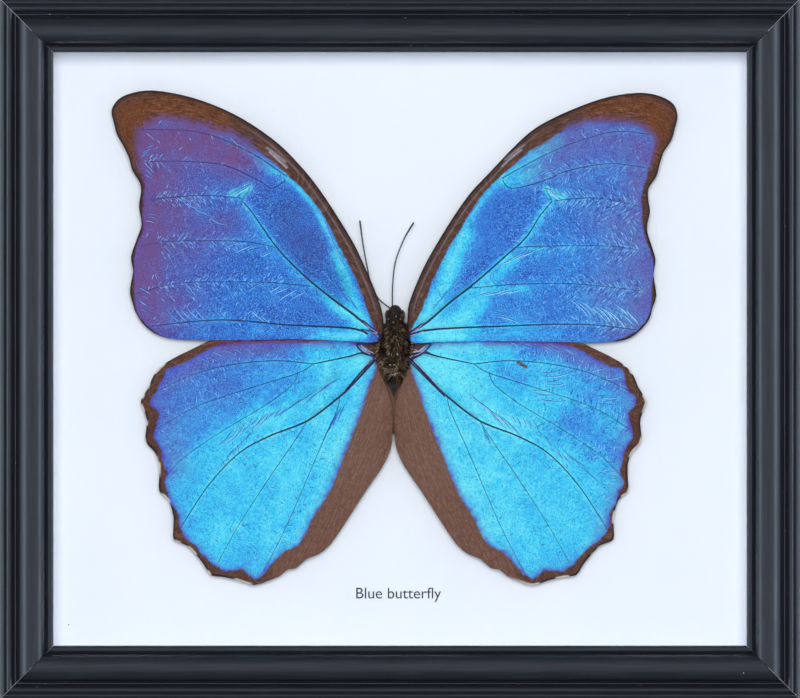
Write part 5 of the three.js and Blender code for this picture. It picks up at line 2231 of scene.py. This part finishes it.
@dataclass
class WingRoots:
    """Dark vein roots with thin pale tubes on them as painted highlights, from the wings' first veins to the
    body.
    """

    axis_x: float = -1.65
    joint_z: float = 88.9
    dark: tuple[RootRow, ...] = (
        (-1, ((8.0, -0.05, 7.3), (6.0, -0.05, 5.6), (4.6, 0.1, 4.4), (3.3, 0.45, 3.4)), 0.28, 0.4),
        (-1, ((8.2, 0.0, 5.0), (5.6, 0.0, 4.4), (4.4, 0.15, 4.0), (3.2, 0.5, 3.0)), 0.2, 0.3),
        (-1, ((9.6, 0.75, 1.3), (8.8, 0.7, 0.1), (7.2, 0.5, -1.2), (5.0, 0.5, -1.7)), 0.2, 0.3),
        (-1, ((9.6, 0.75, 1.3), (7.2, 0.7, 1.2), (4.7, 0.5, 1.9)), 0.2, 0.3),
        (-1, ((12.3, 0.85, -10.6), (8.5, 0.75, -6.1), (6.0, 0.6, -3.2), (4.4, 0.5, -1.9)), 0.16, 0.24),
        (-1, ((12.3, 0.85, -11.2), (8.9, 0.75, -7.4), (6.6, 0.6, -4.5), (4.6, 0.5, -2.7)), 0.12, 0.2),
        (-1, ((8.2, 0.8, -1.1), (6.6, 0.7, -1.3), (5.0, 0.55, -1.9)), 0.2, 0.3),
        (1, ((8.0, -0.05, 6.7), (6.7, -0.05, 5.9), (4.9, 0.1, 4.5), (3.6, 0.4, 3.4)), 0.28, 0.4),
        (1, ((8.0, 0.0, 4.8), (5.5, 0.0, 4.0), (3.6, 0.4, 3.0)), 0.2, 0.3),
        (1, ((9.6, 0.75, 1.2), (8.3, 0.7, -0.25), (6.7, 0.6, -1.5), (4.2, 0.5, -2.6)), 0.2, 0.32),
        (1, ((9.6, 0.75, 1.2), (7.0, 0.65, 1.5), (4.8, 0.5, 0.2)), 0.2, 0.3),
        (1, ((13.1, 0.85, -11.6), (8.0, 0.75, -6.2), (5.5, 0.6, -3.5), (3.6, 0.5, -2.0)), 0.16, 0.26),
        (1, ((13.1, 0.85, -12.2), (8.2, 0.75, -7.3), (5.6, 0.6, -4.6), (3.6, 0.5, -2.9)), 0.12, 0.2),
        (1, ((11.0, 0.85, -1.9), (8.4, 0.75, -0.7), (7.6, 0.7, -0.5)), 0.14, 0.18),
    )
    # pale: thin pale tubes laid along the roots as painted highlights.
    pale: tuple[RootRow, ...] = (
        (-1, ((7.6, -0.35, 6.7), (5.6, -0.35, 5.1), (4.0, -0.25, 4.1)), 0.05, 0.1),
        (-1, ((7.6, -0.2, 4.8), (5.6, -0.2, 4.3), (4.2, -0.1, 3.8)), 0.05, 0.1),
        (-1, ((8.3, 0.35, 1.0), (7.1, 0.3, -0.1), (5.6, 0.25, -0.8)), 0.12, 0.16),
        (-1, ((8.7, 0.4, 0.6), (7.4, 0.35, -0.6), (5.9, 0.3, -1.3)), 0.06, 0.09),
        (-1, ((8.6, 0.5, -5.9), (7.0, 0.4, -4.1), (5.3, 0.25, -2.5)), 0.05, 0.1),
        (-1, ((4.9, -0.1, 4.3), (4.3, -0.05, 3.7), (3.9, 0.0, 3.0)), 0.1, 0.14),
        (1, ((8.0, -0.35, 6.9), (6.4, -0.35, 5.4), (4.6, -0.25, 4.1)), 0.05, 0.1),
        (1, ((7.8, -0.2, 4.5), (5.6, -0.2, 3.8), (4.2, -0.1, 3.3)), 0.06, 0.11),
        (1, ((8.0, 0.35, 0.8), (6.8, 0.3, -0.4), (5.0, 0.25, -0.8)), 0.14, 0.2),
        (1, ((8.6, 0.4, 0.4), (7.2, 0.35, -0.9), (5.4, 0.3, -1.7)), 0.06, 0.09),
        (1, ((12.0, 0.55, -10.3), (8.2, 0.5, -6.1), (5.0, 0.25, -2.8)), 0.05, 0.1),
        (1, ((4.9, 0.1, -1.6), (4.2, 0.1, -2.2)), 0.1, 0.12),
    )

    def tubes(self, rows: tuple[RootRow, ...]) -> list[tuple[np.ndarray, np.ndarray]]:
        """Turns rows of wing places into lines in the frame with their radii.

        Args:
            rows: For each tube its wing's side, its places, and its first and last radius.

        Returns:
            The lines and radii.
        """
        lines = []
        for side, places, first, last in rows:
            flat = smooth_line(tuple((x, z) for x, _y, z in places), 0.3)
            share = np.linspace(0, 1, len(flat))
            depth = np.interp(share, np.linspace(0, 1, len(places)), [y for _x, y, _z in places])
            line = np.column_stack([self.axis_x + side * flat[:, 0], depth, self.joint_z + flat[:, 1]])
            lines.append((line, first + (last - first) * share))
        return lines

    def build(self) -> None:
        """Makes the roots and the pale tubes of painted highlight on them."""
        dark = Horn("root_horn", linear(24, 18, 40), linear(64, 56, 118), 0.35).material()
        finish_piece(make_tubes("vein_roots", self.tubes(self.dark), 8), dark)
        pale = Horn("root_highlight", linear(150, 128, 160), linear(214, 206, 232), 0.35).material()
        finish_piece(make_tubes("vein_root_edges", self.tubes(self.pale), 6), pale)


# ---- Small things on the board and the rails ----


@dataclass
class Caption:
    """A plain line of generic words printed under the specimen."""

    words: str = "Blue butterfly"
    centre_x: float = -0.5
    base_z: float = 25.3
    letter_mm: float = 4.0
    depth_mm: float = 0.04

    def build(self) -> None:
        """Makes the line of words as a thin mesh that lies on the board."""
        low, _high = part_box("mount_board")
        bpy.ops.object.select_all(action="DESELECT")
        at = (self.centre_x * MM, low.y - 0.03 * MM, self.base_z * MM)
        bpy.ops.object.text_add(location=at, rotation=(math.pi / 2, 0, 0))
        line = bpy.context.active_object
        line.data.body = self.words
        line.data.align_x = "CENTER"
        line.data.size = self.letter_mm * MM
        line.data.extrude = self.depth_mm * MM / 2
        line.name = "caption"
        bpy.ops.object.convert(target="MESH")
        line = settle(bpy.context.active_object)
        ink = Speck("grey_ink", linear(30, 32, 38), linear(54, 56, 62)).material()
        finish_piece(line, ink)


@dataclass
class Dust:
    """Grains of dust on the rails and a dark fleck on the board."""

    count: int = 130
    seed: int = 9
    placed: tuple[Triple, ...] = (
        (-88.9, 173.8, 0.16), (-84.1, 173.0, 0.14), (-92.1, 3.2, 0.17), (-89.9, 3.9, 0.12),
        (85.1, 11.3, 0.14), (87.1, 6.8, 0.15), (1.4, 172.9, 0.13), (2.8, 165.9, 0.15), (-13.2, 176.2, 0.12),
        (-97.5, 60.0, 0.12), (97.8, 120.0, 0.12), (30.0, 3.8, 0.12), (61.0, 3.7, 0.11),
    )
    fleck_at: Point = (-84.5, 18.6)
    fleck_size: Triple = (0.2, 0.04, 0.24)

    def build(self) -> None:
        """Makes the dust and the fleck."""
        rng = np.random.default_rng(self.seed)
        graph = bpy.context.evaluated_depsgraph_get()
        trees = [BVHTree.FromObject(bpy.data.objects[f"moulding_{side}"], graph) for side in RAIL_SIDES]
        spots = list(self.placed)
        low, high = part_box("rail_bottom")
        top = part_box("rail_top")[1].z / MM
        for _grain in range(self.count):
            inwards = rng.choice([3.4, 3.5, 4.3, 11.9]) + rng.normal(0, 0.12)
            along = rng.uniform(-0.98, 0.98)
            level = rng.random() < 0.62
            lowest = rng.random() < 0.5
            if level:
                x, z = along * high.x / MM, inwards if lowest else top - inwards
            else:
                x, z = (1 if lowest else -1) * (high.x / MM - inwards), top / 2 * (1 + along)
            spots.append((x, z, rng.uniform(0.035, 0.075)))
        ball = bmesh.new()
        bmesh.ops.create_icosphere(ball, subdivisions=1, radius=1.0)
        shape = np.array([v.co[:] for v in ball.verts])
        sides = [tuple(v.index for v in face.verts) for face in ball.faces]
        ball.free()
        points, faces = [], []
        for x, z, radius in spots:
            hits = [tree.ray_cast(Vector((x * MM, RAY_START, z * MM)), Vector((0, 1, 0))) for tree in trees]
            depths = [hit[0].y for hit in hits if hit[0] is not None]
            if not depths:
                continue
            stretch = rng.uniform(0.6, 1.2, 3)
            at = np.array([x * MM, min(depths) - 0.2 * radius * MM, z * MM])
            faces += [tuple(i + len(shape) * len(points) for i in side) for side in sides]
            points.append(shape * stretch * radius * MM + at)
        dust = mesh_piece("dust", np.concatenate(points), faces)
        pale = Speck("pale_dust", linear(120, 124, 130), linear(214, 216, 222)).material()
        finish_piece(dust, pale)
        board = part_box("mount_board")[0].y
        at = np.array([self.fleck_at[0] * MM, board, self.fleck_at[1] * MM])
        fibre = mesh_piece("board_fleck", shape * np.array(self.fleck_size) * MM + at, sides)
        dark = Speck("dark_fleck", linear(60, 62, 70), linear(96, 98, 108)).material()
        finish_piece(fibre, dark)


# ---- Studio ----


@dataclass
class Studio:
    """Camera, lamps, sky and pale floor."""

    distance: float = 3.0
    edge_depth: float = 0.0044
    sensor_mm: float = 36.0
    key_watts: float = 46.0
    strip_watts: float = 3.8
    back_watts: float = 16.0
    strip_degrees: float = 70.0
    strip_distance: float = 0.95
    warm_white: Colour = (1.0, 0.985, 0.955)
    cool_blue: Colour = (0.68, 0.82, 1.0)
    pane: str = "glass_pane"
    shade_cosines: Point = (0.985, 0.996)
    dusk_heights: Point = (0.25, 0.85)
    dusk_levels: Point = (1.1, 0.18)
    sky_colour: Colour = (0.78, 0.88, 1.0)
    sky_light: float = 0.36
    sky_seen: float = 0.9
    floor_size: float = 6.0
    floor_drop: float = 0.0002

    def lamp(
        self, name: str, at: Vector, size: tuple[float, float], watts: float, towards: Vector, colour: Colour
    ) -> bpy.types.Object:
        """Adds an area lamp that looks at a point.

        Args:
            name: The lamp's name.
            at: Its place.
            size: Its width and height in metres.
            watts: Its power.
            towards: The point that it looks at.
            colour: The colour of its light.

        Returns:
            The lamp.
        """
        data = bpy.data.lights.new(name, "AREA")
        data.shape = "RECTANGLE"
        data.size, data.size_y = size
        data.energy = watts
        data.color = colour
        lamp = bpy.data.objects.new(name, data)
        lamp.location = at
        lamp.rotation_euler = (towards - at).to_track_quat("-Z", "Y").to_euler()
        bpy.context.scene.collection.objects.link(lamp)
        return lamp

    def build(self) -> None:
        """Sets up the whole studio."""
        low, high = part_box("rail_bottom")
        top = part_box("rail_top")[1].z
        front = min(low.y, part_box("rail_top")[0].y)
        centre = Vector((0, 0, top / 2))
        camera = bpy.data.objects.new("camera", bpy.data.cameras.new("camera"))
        camera.data.sensor_width = self.sensor_mm
        camera.data.lens = self.sensor_mm * (self.distance + self.edge_depth) / (high.x - low.x)
        camera.location = (0, front - self.distance, top / 2)
        camera.rotation_euler = (math.pi / 2, 0, 0)
        bpy.context.scene.collection.objects.link(camera)
        bpy.context.scene.camera = camera
        self.lamps(centre)
        self.sky()
        self.floor()
        view = bpy.context.scene.view_settings
        view.view_transform = "Standard"
        view.look = "None"

    def lamps(self, centre: Vector) -> None:
        """Sets up the frontal key lamp, the two side strips and the lamp behind.

        Args:
            centre: The middle of the frame.
        """
        square = (0.8, 0.8)
        key = self.lamp("key", Vector((0, -2.2, 0.26)), square, self.key_watts, centre, self.warm_white)
        key.visible_glossy = False
        key.visible_transmission = False
        key.visible_camera = False
        turn = math.radians(self.strip_degrees)
        out, forward = self.strip_distance * math.sin(turn), self.strip_distance * math.cos(turn)
        for name, side in (("strip_left", -1), ("strip_right", 1)):
            at = Vector((side * out, -forward, 0.12))
            strip = self.lamp(name, at, (0.3, 0.8), self.strip_watts, centre, self.cool_blue)
            strip.visible_diffuse = False
            strip.visible_transmission = False
            unlit = bpy.data.collections.new(f"{name}_unlit")
            unlit.objects.link(bpy.data.objects[self.pane])
            unlit.collection_objects[0].light_linking.link_state = "EXCLUDE"
            strip.light_linking.receiver_collection = unlit
        self.lamp("back", Vector((0.5, 1.3, 0.8)), square, self.back_watts, centre, self.warm_white)

    def sky(self) -> None:
        """Sets up a pale sky that is dimmer as a light than as a reflection, with a dark cloth in front."""
        g = SkyGraph("studio")
        g.put("Color", self.sky_colour)
        where = g.node("ShaderNodeSeparateXYZ")
        g.wire(g.node("ShaderNodeTexCoord").outputs["Generated"], where.inputs[0])
        cloth = g.span(where.outputs["Y"], -self.shade_cosines[1], -self.shade_cosines[0])
        dusk = g.span(g.math("ABSOLUTE", where.outputs["Z"]), *self.dusk_heights, *self.dusk_levels)
        mirrored = g.math("MULTIPLY", cloth, dusk)
        path = g.node("ShaderNodeLightPath")
        shiny = g.math("MAXIMUM", path.outputs["Is Glossy Ray"], path.outputs["Is Transmission Ray"])
        strength = g.span(shiny, 0.0, 1.0, self.sky_light, mirrored)
        g.put("Strength", g.span(path.outputs["Is Camera Ray"], 0.0, 1.0, strength, self.sky_seen))
        bpy.context.scene.world = g.world

    def floor(self) -> None:
        """Makes the plain pale floor."""
        bpy.ops.object.select_all(action="DESELECT")
        bpy.ops.mesh.primitive_plane_add(size=self.floor_size, location=(0, 0, -self.floor_drop))
        floor = bpy.context.active_object
        floor.name = "floor"
        g = Graph("pale_floor")
        tone = g.noise(g.place(), 60.0, 2.0)
        g.put("Base Color", g.mix(tone, (0.7, 0.71, 0.72), (0.74, 0.75, 0.76)))
        g.put("Roughness", 0.8)
        floor.data.materials.append(g.material)
        floor.visible_glossy = False
        floor.visible_transmission = False


def main() -> None:
    """Builds every part of the scene in order."""
    logging.basicConfig(level=logging.INFO, format="%(name)s: %(message)s")
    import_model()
    Moulding().build()
    CardStack().build()
    BackHardware().build()
    Wings().build()
    WingRoots().build()
    Body().build()
    Antennae().build()
    Caption().build()
    Dust().build()
    Studio().build()


if __name__ == "__main__":
    main()
